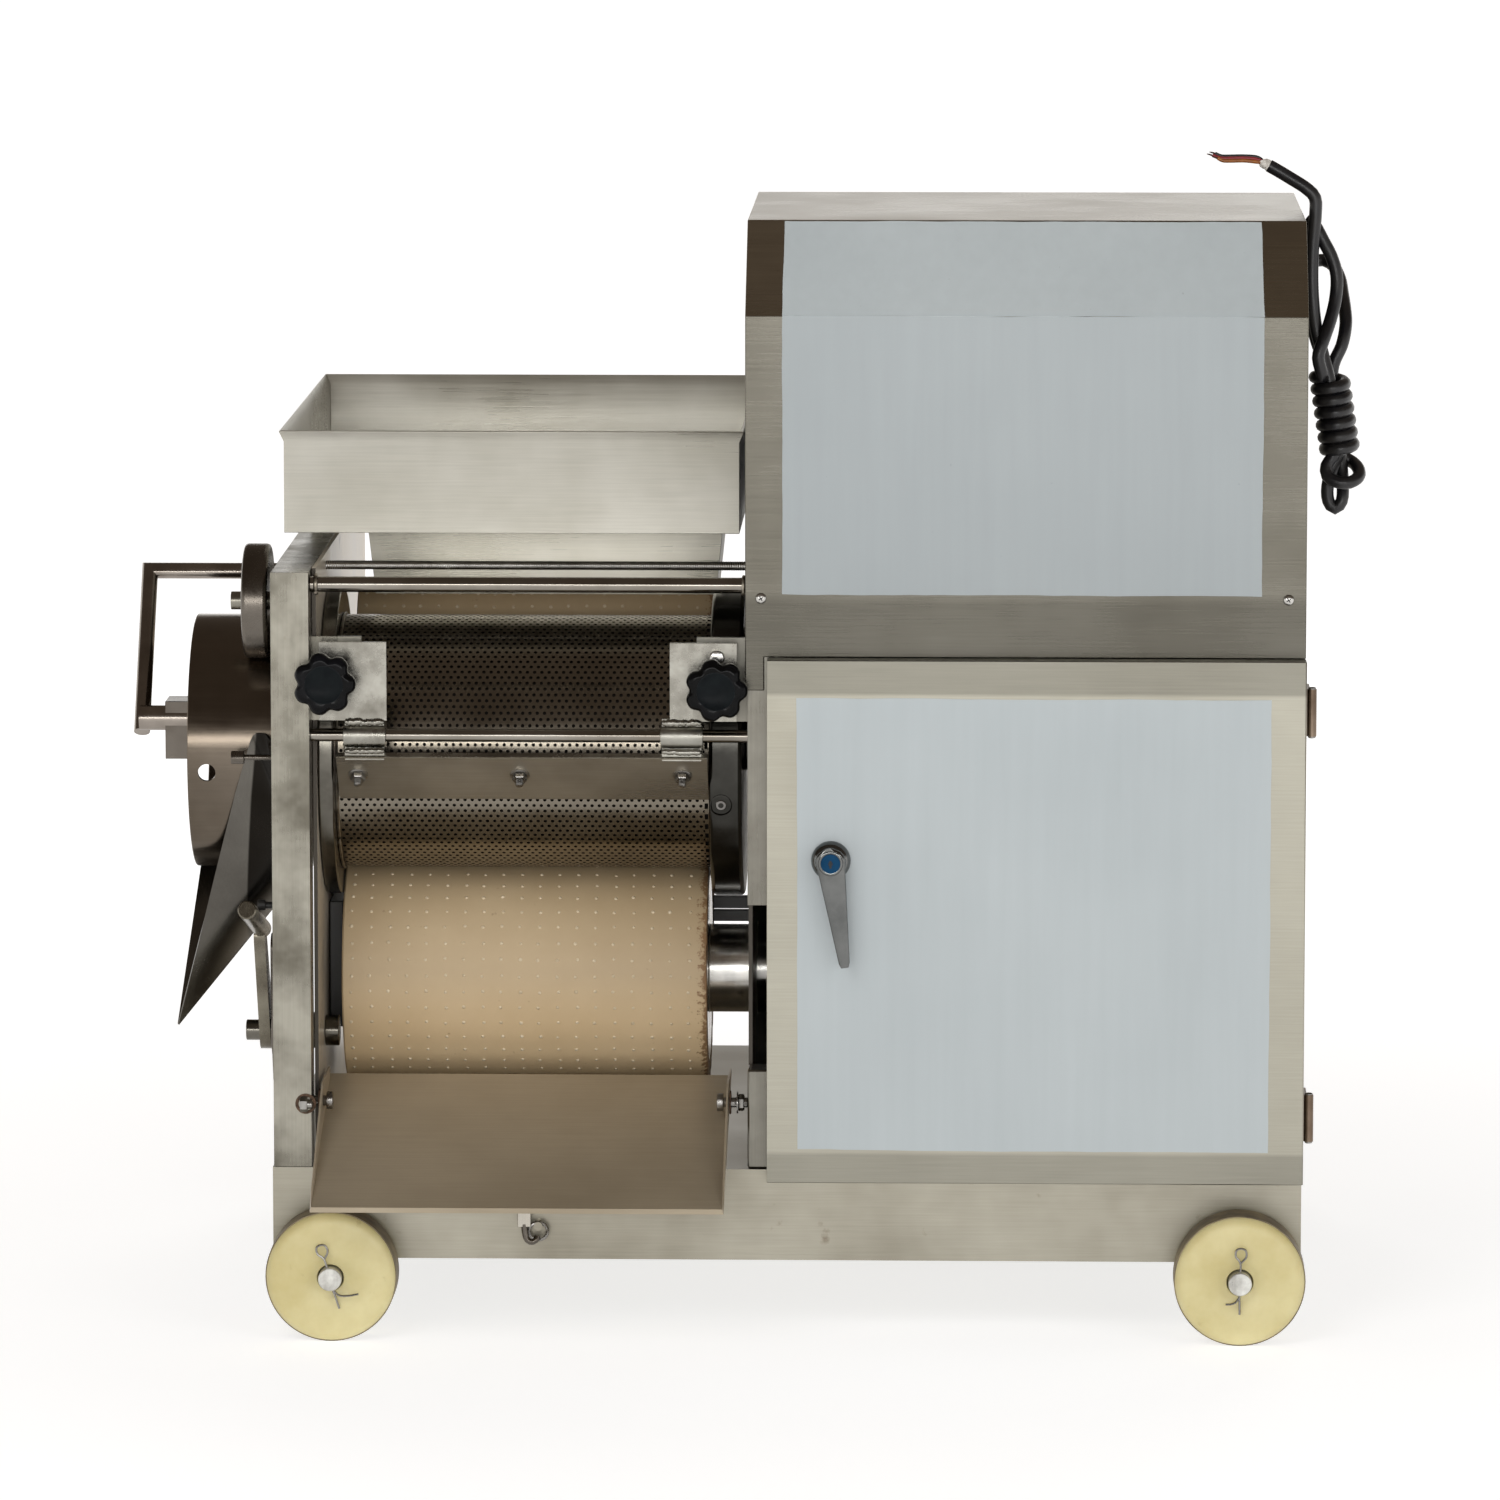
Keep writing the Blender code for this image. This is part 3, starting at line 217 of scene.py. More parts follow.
def plain(name, low, high, roughness, scale=60.0, depth=0.1, metallic=0.0, **sockets):
    """Moulded, cast or rubbed material: two close tones, uneven gloss and a fine bump."""
    tree, surface = blank(name, Metallic=metallic, **sockets)
    fine, broad = cloud(tree, scale * 8, 2.0), cloud(tree, scale, 4.0)
    cover(tree, surface, rgb(tree, broad, low, high, 0.35, 0.65),
          spread(tree, broad, roughness - 0.06, roughness + 0.08), fine, depth)


def film_look(name, light_shade_scale):
    """Blue-grey protective film: faint streaks, small scratches and dust, slightly glossy."""
    tree, surface = blank(name, Coat_Weight=0.15, Coat_Roughness=0.25)
    broad, fleck = cloud(tree, 3.2), cloud(tree, 210.0, 1.0)
    streak = cloud(tree, 1.0, 2.0, (90.0, 90.0, 5.0))
    # light_shade_scale darkens or lightens the whole film: painted shade or painted light
    tone = rgb(tree, broad, *(tuple(light_shade_scale * c for c in colour)
                              for colour in ((0.350, 0.388, 0.402), (0.392, 0.432, 0.446))))
    tone = times(tree, tone, rgb(tree, streak, (0.975, 0.975, 0.975), (1.015, 1.015, 1.015)))
    tone = mixed(tree, spread(tree, fleck, 0.0, 0.35, 0.80, 0.86), tone, (0.16, 0.17, 0.17))
    cover(tree, surface, tone, spread(tree, broad, 0.30, 0.42), streak, 0.05, 0.0005)


def belt_look(name):
    """Tan rubber: patchy, painted paler where it comes round below as painted light, brown and ragged at its
    right edge.
    """
    tree, surface = blank(name)
    broad, fine = cloud(tree, 9.0, 5.0), cloud(tree, 900.0, 2.0)
    tone = rgb(tree, broad, (0.415, 0.310, 0.182), (0.475, 0.365, 0.225))
    tone = mixed(tree, spread(tree, cloud(tree, 120.0, 2.0), 0.0, 0.5, 0.72, 0.80), tone,
                 (0.16, 0.095, 0.045))
    # painted light: the belt is made 1.45 times paler towards the bottom, fully below z 0.200
    low = spread(tree, axis_value(tree, "Z"), 1.0, 0.0, 0.200, 0.262)
    tone = mixed(tree, low, tone, times(tree, tone, (1.45, 1.43, 1.40)))
    ragged = summed(tree, axis_value(tree, "X"), spread(tree, cloud(tree, 260.0, 4.0), -0.006, 0.006))
    tone = mixed(tree, spread(tree, ragged, 0.0, 0.85, -0.0145, -0.0115), tone, (0.20, 0.10, 0.04))
    cover(tree, surface, tone, spread(tree, broad, 0.46, 0.60), fine, 0.15)


def nylon_look(name):
    """Cast cream nylon with turning marks, a waxy depth and darker scuffs."""
    tree, surface = blank(name, Roughness=0.36, Subsurface_Weight=0.12, Subsurface_Scale=0.5,
                          Subsurface_Radius=(0.006, 0.004, 0.002))
    tone = rgb(tree, cloud(tree, 22.0, 4.0), (0.52, 0.445, 0.205), (0.64, 0.575, 0.315))
    tone = mixed(tree, spread(tree, cloud(tree, 75.0, 6.0), 0.0, 0.55, 0.66, 0.80), tone,
                 (0.30, 0.22, 0.09))
    cover(tree, surface, tone, None, cloud(tree, 1.0, 2.0, (260.0, 60.0, 260.0)), 0.06, 0.0004)


# steel: name, lighter tone, darker tone, roughness, grain, depth of the grain's bumps
STAIN = (0.17, 0.135, 0.095)
steel("sheet_x", (0.392, 0.371, 0.308), (0.259, 0.238, 0.189), 0.34, "X", mottle=6.0, dirt=STAIN)
steel("sheet_z", (0.40, 0.385, 0.335), (0.31, 0.29, 0.243), 0.34, "Z", shift=2.0, dirt=STAIN)
# the hopper's throat, below z 0.596, is painted 1.8 times lighter: painted light where the lamps leave it in
# shade
steel("hopper", (0.521, 0.504, 0.445), (0.336, 0.319, 0.26), 0.30, "X", mottle=5.0, shift=4.0, metallic=0.6,
      bands=((0.601, 0.596, 1.8),))
# the door's top strip, above z 0.497, and bottom strip, below z 0.142, are painted darker: painted shade for
# their different reflection
steel("door_sheet", (0.385, 0.37, 0.311), (0.311, 0.296, 0.244), 0.33, "X", mottle=4.0,
      bands=((0.494, 0.497, 0.66), (0.145, 0.142, 0.74)))
# the hood is darker towards the bottom, below z 0.562; its faces turned up are painted 2.3 times lighter:
# painted light from above
steel("hood_sheet", (0.192, 0.182, 0.154), (0.134, 0.125, 0.102), 0.27, "X", mottle=4.0,
      bands=((0.572, 0.562, 0.70),), light_shade_by_facing=("Z", 0.25, 0.40, 2.3))
steel("post_right", (0.235, 0.226, 0.195), (0.15, 0.14, 0.118), 0.30, "Z", mottle=14.0, shift=5.0,
      dirt=STAIN)
steel("post", (0.326, 0.311, 0.263), (0.141, 0.13, 0.104), 0.28, "Z", mottle=17.0, shift=1.0, dirt=STAIN,
      wear=0.1)
# the side plates' faces turned to the front are painted ten times darker: painted shade
steel("inner", (0.707, 0.629, 0.51), (0.481, 0.428, 0.347), 0.34, "Z", mottle=9.0, dirt=(0.06, 0.045, 0.03),
      metallic=0.45, light_shade_by_facing=("Y", -0.6, -0.8, 0.10))
steel("tray", (0.42, 0.354, 0.258), (0.318, 0.264, 0.186), 0.36, "X", 0.08, mottle=5.0, metallic=0.35)
steel("drum", (0.269, 0.241, 0.196), (0.185, 0.162, 0.129), 0.20, "X", 0.04, mottle=10.0)
steel("drum_end", (0.172, 0.144, 0.115), (0.103, 0.083, 0.062), 0.19, "X", 0.03, mottle=8.0)
steel("turned", (0.203, 0.191, 0.165), (0.105, 0.098, 0.083), 0.20, None, 0.03, mottle=20.0)
steel("flange", (0.06, 0.058, 0.052), (0.03, 0.029, 0.026), 0.20, None, 0.03, mottle=20.0)
steel("hub", (0.826, 0.812, 0.771), (0.413, 0.405, 0.386), 0.20, "X", 0.03, mottle=24.0,
      dirt=(0.05, 0.04, 0.03))
steel("rod", (0.317, 0.295, 0.26), (0.22, 0.198, 0.167), 0.13, "X", 0.04, mottle=16.0)
steel("dull", (0.17, 0.153, 0.132), (0.106, 0.092, 0.078), 0.26, None, 0.0, mottle=12.0)
steel("arm", (0.357, 0.319, 0.281), (0.17, 0.145, 0.123), 0.20, None, 0.0, mottle=14.0,
      dirt=(0.10, 0.065, 0.04))
steel("brown", (0.26, 0.20, 0.15), (0.12, 0.085, 0.06), 0.34, None, 0.2, mottle=18.0)
steel("ground", (0.36, 0.349, 0.31), (0.173, 0.162, 0.137), 0.26, None, 0.15, mottle=34.0, dirt=STAIN,
      wear=0.1)
steel("weld", (0.42, 0.38, 0.31), (0.12, 0.10, 0.08), 0.36, None, 0.4, mottle=120.0)
steel("machined", (0.34, 0.33, 0.31), (0.20, 0.19, 0.18), 0.28, None, 0.08, mottle=26.0,
      dirt=(0.07, 0.05, 0.03))
steel("bright", (0.62, 0.61, 0.58), (0.40, 0.39, 0.37), 0.20, None, 0.06, mottle=50.0)
steel("axle_face", (0.70, 0.70, 0.66), (0.42, 0.41, 0.38), 0.34, "Z", 0.5, mottle=90.0, metallic=0.7)
steel("chrome", (0.165, 0.168, 0.165), (0.11, 0.114, 0.112), 0.13, None, 0.02, mottle=30.0)
steel("lever", (0.26, 0.24, 0.19), (0.12, 0.105, 0.08), 0.28, "Z", 0.1, mottle=30.0,
      dirt=(0.09, 0.06, 0.04))
steel("blade", (0.378, 0.342, 0.279), (0.252, 0.225, 0.18), 0.30, "X", 0.05, mottle=9.0, metallic=0.8)
steel("prop", (0.60, 0.57, 0.51), (0.46, 0.43, 0.37), 0.24, "Z", dirt=STAIN)
steel("rust_weld", (0.42, 0.24, 0.10), (0.16, 0.09, 0.045), 0.48, None, 0.6, mottle=150.0)
# other materials: name, darker tone, lighter tone, roughness, scale and depth of the bumps
# near black: painted shade inside the drum
plain("bore_painted_shade", (0.006, 0.005, 0.004), (0.014, 0.012, 0.010), 0.7, 60.0, 0.1, Specular_IOR_Level=0.1)
# dark brown on each tyre's rolling face: dirt and painted shade
plain("tread_dirt_and_shade", (0.075, 0.052, 0.030), (0.24, 0.195, 0.115), 0.6, 40.0, 0.3)
plain("knob", (0.002, 0.002, 0.002), (0.004, 0.004, 0.005), 0.16, 40.0, 0.02, Specular_IOR_Level=0.10)
plain("knob_face", (0.004, 0.005, 0.006), (0.007, 0.009, 0.010), 0.30, 60.0, 0.05, Specular_IOR_Level=0.05)
plain("block", (0.012, 0.012, 0.012), (0.024, 0.023, 0.021), 0.45, 50.0, 0.2)
plain("jacket", (0.006, 0.006, 0.008), (0.013, 0.012, 0.012), 0.34, 90.0, 0.12)
plain("gland", (0.012, 0.012, 0.013), (0.022, 0.022, 0.023), 0.40, 80.0, 0.1)
plain("enamel", (0.055, 0.095, 0.135), (0.085, 0.13, 0.18), 0.42, 60.0, 0.35, Coat_Weight=0.2)
plain("lock_blue", (0.006, 0.038, 0.088), (0.009, 0.048, 0.110), 0.30, 90.0, 0.05, Specular_IOR_Level=0.02)
# near black: painted shade in the key slot and the screw recesses
plain("slot_painted_shade", (0.004, 0.004, 0.004), (0.010, 0.010, 0.010), 0.5, 90.0, 0.1)
plain("rust", (0.05, 0.028, 0.016), (0.13, 0.075, 0.045), 0.8, 300.0, 0.6)
plain("core_brown", (0.20, 0.065, 0.015), (0.32, 0.11, 0.02), 0.4, 200.0)
plain("core_red", (0.16, 0.008, 0.012), (0.24, 0.015, 0.02), 0.4, 200.0)
plain("core_black", (0.010, 0.010, 0.010), (0.02, 0.02, 0.02), 0.4, 200.0)
plain("copper", (0.10, 0.045, 0.03), (0.20, 0.10, 0.06), 0.4, 300.0, 0.3, 1.0)
plain("wrap", (0.42, 0.39, 0.35), (0.70, 0.67, 0.62), 0.7, 260.0, 0.6)
plain("motor_paint", (0.05, 0.09, 0.15), (0.075, 0.125, 0.19), 0.38, 60.0, 0.3, Coat_Weight=0.2)
plain("stud", (0.50, 0.40, 0.26), (0.66, 0.56, 0.40), 0.38, 200.0, 0.1)
# the chute's sheet to the right of a slanting line is painted ten times darker: painted shade in its hollow
steel("chute", (0.150, 0.141, 0.124), (0.095, 0.088, 0.077), 0.24, "Z", 0.03, mottle=9.0,
      fold_shade=((1.0, 0.0, -0.09), -0.3940, -0.3925, (0.10, 0.09, 0.08)))
# the hood's front film is painted darker and its slant film lighter: painted shade and painted light on one
# film
for name, light_shade_scale in (("film", 1.0), ("film_front", 0.78), ("film_slant", 1.28)):
    film_look(name, light_shade_scale)
belt_look("belt_rubber")
nylon_look("nylon")

# ------------------------------------------------------------------ shape helpers
PLANES = {"X": (1, 2, 0), "Y": (0, 2, 1), "Z": (0, 1, 2)}


def along(axis, u, v, position):
    """The point at a position on an axis and at u, v across it."""
    first, second, third = PLANES[axis]
    point = Vector((0.0, 0.0, 0.0))
    point[first], point[second], point[third] = u, v, position
    return point


def skin(rings, loop=False):
    """A surface over rings of equal length; loop joins the last ring to the first."""
    shape = bmesh.new()
    rows = [[shape.verts.new(point) for point in ring] for ring in rings]
    pairs = list(zip(rows, rows[1:])) + ([(rows[-1], rows[0])] if loop else [])
    count = len(rows[0])
    for row, following in pairs:
        for i in range(count):
            j = (i + 1) % count
            shape.faces.new((row[i], row[j], following[j], following[i]))
    if not loop:
        shape.faces.new(rows[0])
        shape.faces.new(rows[-1])
    bmesh.ops.recalc_face_normals(shape, faces=shape.faces)
    return shape


def prism(outline, axis, low, high):
    """An outline, carried along an axis from low to high."""
    return skin([[along(axis, u, v, end) for u, v in outline] for end in (low, high)])


def block(low, high):
    outline = ((low[0], low[1]), (high[0], low[1]), (high[0], high[1]), (low[0], high[1]))
    return prism(outline, "Z", low[2], high[2])


def turned(profile, centre, axis, sides=40, loop=False, lobe=None):
    """A round body from (position, radius) pairs; lobe gives a radius factor by angle."""
    first, second, _ = PLANES[axis]
    rings = []
    for position, radius in profile:
        ring = []
        for i in range(sides):
            angle = TAU * i / sides
            reach = radius * (lobe(angle, radius) if lobe else 1.0)
            ring.append(along(axis, centre[first] + reach * math.cos(angle),
                              centre[second] + reach * math.sin(angle), position))
        rings.append(ring)
    return skin(rings, loop)


def merged(*shapes):
    """One shape holding several; the others are used up."""
    whole = bmesh.new()
    for shape in shapes:
        part = bpy.data.meshes.new("part")
        shape.to_mesh(part)
        shape.free()
        whole.from_mesh(part)
        bpy.data.meshes.remove(part)
    return whole


def turned_to(shape, start, heading=FRONT):
    """Moves a shape built up the Z axis from the origin, so that it runs from start along heading."""
    turn = Vector((0.0, 0.0, 1.0)).rotation_difference(Vector(heading).normalized())
    matrix = Matrix.Translation(Vector(start)) @ turn.to_matrix().to_4x4()
    bmesh.ops.transform(shape, matrix=matrix, verts=shape.verts)
    return shape


def hexagon(radius, low, high, chamfer=0.0):
    """A hexagon nut or bolt head up the Z axis, with its corners turned back."""
    profile = [(low, radius * 0.90), (low + chamfer, radius), (high - chamfer, radius),
               (high, radius * 0.90)] if chamfer else [(low, radius), (high, radius)]
    rings = [[(r * math.cos(TAU * i / 6), r * math.sin(TAU * i / 6), z) for i in range(6)]
             for z, r in profile]
    return skin(rings)


def up(profile, sides=28, loop=False):
    """A round body up the Z axis from (height, radius) pairs."""
    return turned(profile, (0.0, 0.0, 0.0), "Z", sides, loop)


def circle(centre, side, other, radius, sides):
    """Points round a centre, in the plane of two directions."""
    return [centre + radius * (math.cos(TAU * k / sides) * side + math.sin(TAU * k / sides) * other)
            for k in range(sides)]


def ring_line(x, y, z, radius, steps):
    """A closed line of points round an axis along X."""
    return [(x, y + radius * math.cos(TAU * i / steps), z + radius * math.sin(TAU * i / steps))
            for i in range(steps + 1)]


def heading_at(points, i):
    """The direction a line of points takes at its point i."""
    return (points[min(i + 1, len(points) - 1)] - points[max(i - 1, 0)]).normalized()


def ball_bead(points, radius, seed, sides=10):
    """An uneven weld bead along points."""
    bumps = random.Random(seed)
    rings = []
    points = [Vector(p) for p in points]
    for i, point in enumerate(points):
        heading = heading_at(points, i)
        side = heading.orthogonal().normalized()
        end = 0.35 if i in (0, len(points) - 1) else 1.0
        reach = radius * end * bumps.uniform(0.80, 1.2)
        rings.append(circle(point, side, heading.cross(side), reach, sides))
    return skin(rings)


def line_points(start, end, count, jitter=0.0, seed=1):
    """Points from start to end, each moved by up to jitter each way."""
    shake = random.Random(seed)
    start, end = Vector(start), Vector(end)
    return [start.lerp(end, i / (count - 1)) + jitter * Vector([shake.uniform(-1, 1) for _ in range(3)])
            for i in range(count)]


def rod(points, radius, sides=12):
    """A round rod along points, without twist; radius is one number or one for each point."""
    points = [Vector(p) for p in points]
    rings = []
    side = None
    for i, point in enumerate(points):
        heading = heading_at(points, i)
        side = heading.orthogonal() if side is None else side - heading * side.dot(heading)
        side.normalize()
        size = radius[i] if isinstance(radius, (list, tuple)) else radius
        rings.append(circle(point, side, heading.cross(side), size, sides))
    return skin(rings)


def put(name, shape, look, body=STILL, replaces=(), bevel=0.0, sharp=35):
    """Adds a piece made in the machine's frame, and says what it rides on and stands for.

    bevel rounds its edges, so that they catch the light; sharp is the angle in degrees over
    which an edge is shaded as one.
    """
    bmesh.ops.translate(shape, verts=shape.verts, vec=-ORIGIN)
    mesh = bpy.data.meshes.new(name)
    shape.to_mesh(mesh)
    shape.free()
    for spare in ("custom_normal", "sharp_face"):
        if spare in mesh.attributes:
            mesh.attributes.remove(mesh.attributes[spare])
    mesh.shade_smooth()
    mesh.set_sharp_from_angle(angle=math.radians(sharp))
    mesh.materials.clear()
    mesh.materials.append(LOOK[look])
    piece = bpy.data.objects.new(name, mesh)
    bpy.context.scene.collection.objects.link(piece)
    if bevel:
        edge = piece.modifiers.new("edge", "BEVEL")
        edge.width = bevel
        edge.segments = 2
        edge.limit_method = "ANGLE"
        edge.angle_limit = math.radians(30)
        edge.harden_normals = False
    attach(piece, body)
    if replaces:
        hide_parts(*replaces)
    return piece


# ------------------------------------------------------------------ mains cable
CORD_RADIUS, CORD_STEP = 0.005, 0.004
CORD_EXIT = Vector((0.8034, 0.300, 0.800))
CORE_TOP, CORE_BOTTOM = Vector((0.8092, 0.204, 0.7150)), Vector((0.8178, 0.204, 0.6620))
WRAP_TURNS, WRAP_ACROSS, WRAP_DEEP = 6, 0.0112, 0.0196
WRAP_START, WRAP_STEPS = math.radians(-120), 16
BARE_HEIGHTS = (0.8852, 0.8862, 0.8860, 0.8872, 0.8892)    # of the three bare cores


def smooth_route(route, spacing):
    """Points a spacing apart on a smooth curve through a route's own points."""
    knots = [Vector(point) for point in route]
    knots = [2 * knots[0] - knots[1]] + knots + [2 * knots[-1] - knots[-2]]
    fine = []
    for before, start, end, after in zip(knots, knots[1:], knots[2:], knots[3:]):
        for i in range(24):
            t = i / 24
            fine.append(0.5 * (2 * start + (end - before) * t
                               + (2 * before - 5 * start + 4 * end - after) * t ** 2
                               + (3 * start - before - 3 * end + after) * t ** 3))
    fine.append(knots[-2])
    length = sum((b - a).length for a, b in zip(fine, fine[1:]))
    count = max(2, round(length / spacing))
    points, travelled = [fine[0]], 0.0
    for start, end in zip(fine, fine[1:]):
        step = (end - start).length
        while len(points) < count and travelled + step >= len(points) * length / count:
            points.append(start.lerp(end, (len(points) * length / count - travelled) / step))
        travelled += step
    return points + [fine[-1]]


def beside_core(y, *shares):
    """Points at a depth y, at shares of the way down the hank's core."""
    spots = [CORE_TOP.lerp(CORE_BOTTOM, share) for share in shares]
    return [(spot.x, y, spot.z) for spot in spots]


def cable_route():
    """From the gland down the hank, up again, over the top, round in six wraps, and out."""
    route = [CORD_EXIT, (0.8080, 0.300, 0.800), (0.8150, 0.292, 0.7965), (0.8195, 0.272, 0.788),
             (0.8210, 0.250, 0.7775), (0.8222, 0.232, 0.767), (0.8225, 0.222, 0.756),
             (0.8195, 0.216, 0.741), (0.8125, 0.2140, 0.724)]
    route += beside_core(0.2142, 0.3, 0.7, 1.0)
    route += [(0.8200, 0.2125, 0.645), (0.8208, 0.207, 0.630), (0.8198, 0.204, 0.6200),
              (0.8147, 0.204, 0.6143), (0.8096, 0.204, 0.6200), (0.8088, 0.204, 0.632),
              (0.8130, 0.204, 0.648)]
    route += beside_core(0.204, 1.0, 0.5, 0.0)
    route += [(0.8035, 0.2055, 0.733), (0.7975, 0.208, 0.752), (0.7948, 0.2095, 0.780),
              (0.7940, 0.2105, 0.808), (0.7935, 0.2120, 0.828), (0.7938, 0.2090, 0.8375),
              (0.7975, 0.2050, 0.8345), (0.8035, 0.2045, 0.8235), (0.8105, 0.2045, 0.810),
              (0.8145, 0.2035, 0.795), (0.8135, 0.2005, 0.778), (0.8095, 0.1950, 0.762),
              (0.8040, 0.1870, 0.747), (0.8000, 0.1845, 0.734)]
    for i in range(WRAP_TURNS * WRAP_STEPS + 5):
        share = i / (WRAP_TURNS * WRAP_STEPS)
        middle = CORE_TOP.lerp(CORE_BOTTOM, share) + Vector((0.0, 0.0, 0.0035 - 0.0035 * share))
        angle = WRAP_START - TAU * i / WRAP_STEPS
        route.append((middle.x + WRAP_ACROSS * math.cos(angle),
                      middle.y + WRAP_DEEP * math.sin(angle), middle.z))
    route += [(0.8268, 0.2210, 0.6500), (0.8325, 0.2080, 0.6455), (0.8325, 0.1940, 0.6405),
              (0.8255, 0.1850, 0.6368), (0.8160, 0.1840, 0.6370), (0.8080, 0.1870, 0.6415),
              (0.8075, 0.1900, 0.6495), (0.8130, 0.1920, 0.6580)]
    route += beside_core(0.1938, 0.75, 0.4, 0.0)
    route += [(0.8040, 0.1955, 0.735), (0.7985, 0.1965, 0.756), (0.7955, 0.1975, 0.785),
              (0.7955, 0.1985, 0.815), (0.7975, 0.199, 0.8436), (0.7970, 0.199, 0.8565),
              (0.7900, 0.199, 0.8640), (0.7790, 0.199, 0.8710), (0.7690, 0.199, 0.8770),
              (0.7612, 0.199, 0.8814)]
    return route


cable_points = smooth_route(cable_route(), CORD_STEP)
cable_curve = bpy.data.curves.new("mains_cable", "CURVE")
cable_curve.dimensions = "3D"
cable_curve.bevel_depth = CORD_RADIUS
cable_curve.bevel_resolution = 4
cable_curve.use_fill_caps = True
cable_spline = cable_curve.splines.new("POLY")
cable_spline.points.add(len(cable_points) - 1)
for target, point in zip(cable_spline.points, cable_points):
    target.co = (*(point - ORIGIN), 1.0)
cable_curve.materials.append(LOOK["jacket"])
cable = bpy.data.objects.new("mains_cable", cable_curve)
bpy.context.scene.collection.objects.link(cable)
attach(cable, STILL)
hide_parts("cable_lead", "cable_hank", "cable_tail")

gland_profile = [(0.7866, 0.0118), (0.7874, 0.0120), (0.7910, 0.0120), (0.7918, 0.0114)]
for i in range(5):
    x = 0.7922 + 0.0021 * i
    swell = 0.0098 - 0.0006 * i
    gland_profile += [(x, swell - 0.0010), (x + 0.0004, swell), (x + 0.0014, swell),
                      (x + 0.0018, swell - 0.0010)]
gland_profile += [(0.8030, 0.0066), (0.8031, 0.0052), (0.7872, 0.0052)]
gland = put("cable_gland_body", turned(gland_profile, (0.0, 0.300, 0.800), "X", 32, True), "gland",
            replaces=("cable_gland",))

sleeve_start, sleeve_end = Vector(cable_points[-1]), Vector((0.7555, 0.199, 0.8846))
wrap_line = line_points(sleeve_start + Vector((0.0012, 0.0, -0.0007)), sleeve_end, 6, 0.0004, 4)
wrap = put("cable_paper_wrap", rod(wrap_line, (0.0044, 0.0044, 0.0041, 0.0043, 0.0039, 0.0030), 14),
           "wrap")
cores = []
for name, side, drop, spots in (
        ("brown", 0.1975, 0.0, (0.7520, 0.7420, 0.7310, 0.7255, 0.7215)),
        ("red", 0.1990, 0.0020, (0.7520, 0.7425, 0.7300, 0.7230, 0.7175)),
        ("black", 0.2008, 0.0034, (0.7525, 0.7420, 0.7290, 0.7240, 0.7195))):
    path = [(0.7580, side, 0.8836)] + [
        (x, side + 0.0006 * math.sin(5 * i), z + drop - 0.0010 - (0.0010 if i > 2 else 0.0))
        for i, (x, z) in enumerate(zip(spots, BARE_HEIGHTS))]
    core = put("cable_core_" + name, rod(smooth_route(path, 0.0016), 0.0014, 10), "core_" + name)
    tip = Vector(path[-1])
    strand_line = line_points(tip + Vector((0.001, 0.0, -0.0004)), tip + Vector((-0.0045, 0.0, 0.0012)),
                              4, 0.0003, 9)
    strand = put("cable_strand_" + name, rod(strand_line, (0.0007, 0.0007, 0.0006, 0.0003), 8), "copper")
    cores += [core, strand]

# ------------------------------------------------------------------ stage
FLOOR_REACH = 60.0
LAMPS = (  # name, place, width, height, watts, seen in reflections
    ("key", (-1.6, -3.6, 3.0), 2.4, 2.4, 52.0, False),
    ("fill", (2.6, -3.2, 1.8), 2.2, 2.2, 34.0, False),
    ("back", (0.2, 3.2, 3.0), 3.0, 3.0, 45.0, False),
    ("strip", (0.0, -8.2, 1.50), 7.0, 0.60, 120.0, True),
)


def make_stage():
    """A pale floor that glows a little, soft lamps, and a world bright only near the horizon."""
    floor_mesh = bpy.data.meshes.new("floor")
    reach = FLOOR_REACH
    floor_mesh.from_pydata([(-reach, -reach, 0.0), (reach, -reach, 0.0), (reach, reach, 0.0),
                            (-reach, reach, 0.0)], [], [(0, 1, 2, 3)])
    floor = bpy.data.objects.new("floor", floor_mesh)
    tree, surface = blank("floor", Roughness=0.9)
    tone = rgb(tree, cloud(tree, 0.8, 2.0), (0.56, 0.56, 0.56), (0.59, 0.59, 0.59), 0.35, 0.65)
    tree.links.new(tone, surface.inputs["Base Color"])
    away = shader(tree, "VectorMath", {0: place_in(tree)}, operation="LENGTH").outputs["Value"]
    glow = spread(tree, away, 0.70, 0.95, 0.6, 3.4)
    tree.links.new(glow, surface.inputs["Emission Strength"])
    surface.inputs["Emission Color"].default_value = (1.0, 1.0, 1.0, 1.0)
    surface.inputs["Specular IOR Level"].default_value = 0.1
    floor_mesh.materials.append(LOOK["floor"])
    bpy.context.scene.collection.objects.link(floor)
    for name, place, width, height, power, mirrored in LAMPS:
        lamp = bpy.data.lights.new(name, "AREA")
        lamp.shape = "RECTANGLE"
        lamp.size, lamp.size_y = width, height
        lamp.energy = power
        holder = bpy.data.objects.new(name, lamp)
        holder.location = place
        holder.visible_glossy = mirrored
        aim = Vector((0.0, 0.0, 0.4)) - Vector(place)
        holder.rotation_euler = aim.to_track_quat("-Z", "Y").to_euler()
        bpy.context.scene.collection.objects.link(holder)
    world = bpy.data.worlds.new("studio")
    world.use_nodes = True
    bpy.context.scene.world = world
    tree = world.node_tree
    sky = rgb(tree, axis_value(tree, "Z", "Generated"), (0.80, 0.79, 0.77), (0.085, 0.068, 0.054), 0.15, 0.29)
    tree.links.new(sky, tree.nodes["Background"].inputs["Color"])
    tree.nodes["Background"].inputs["Strength"].default_value = 1.6
    bpy.context.scene.view_settings.view_transform = "Standard"


make_stage()

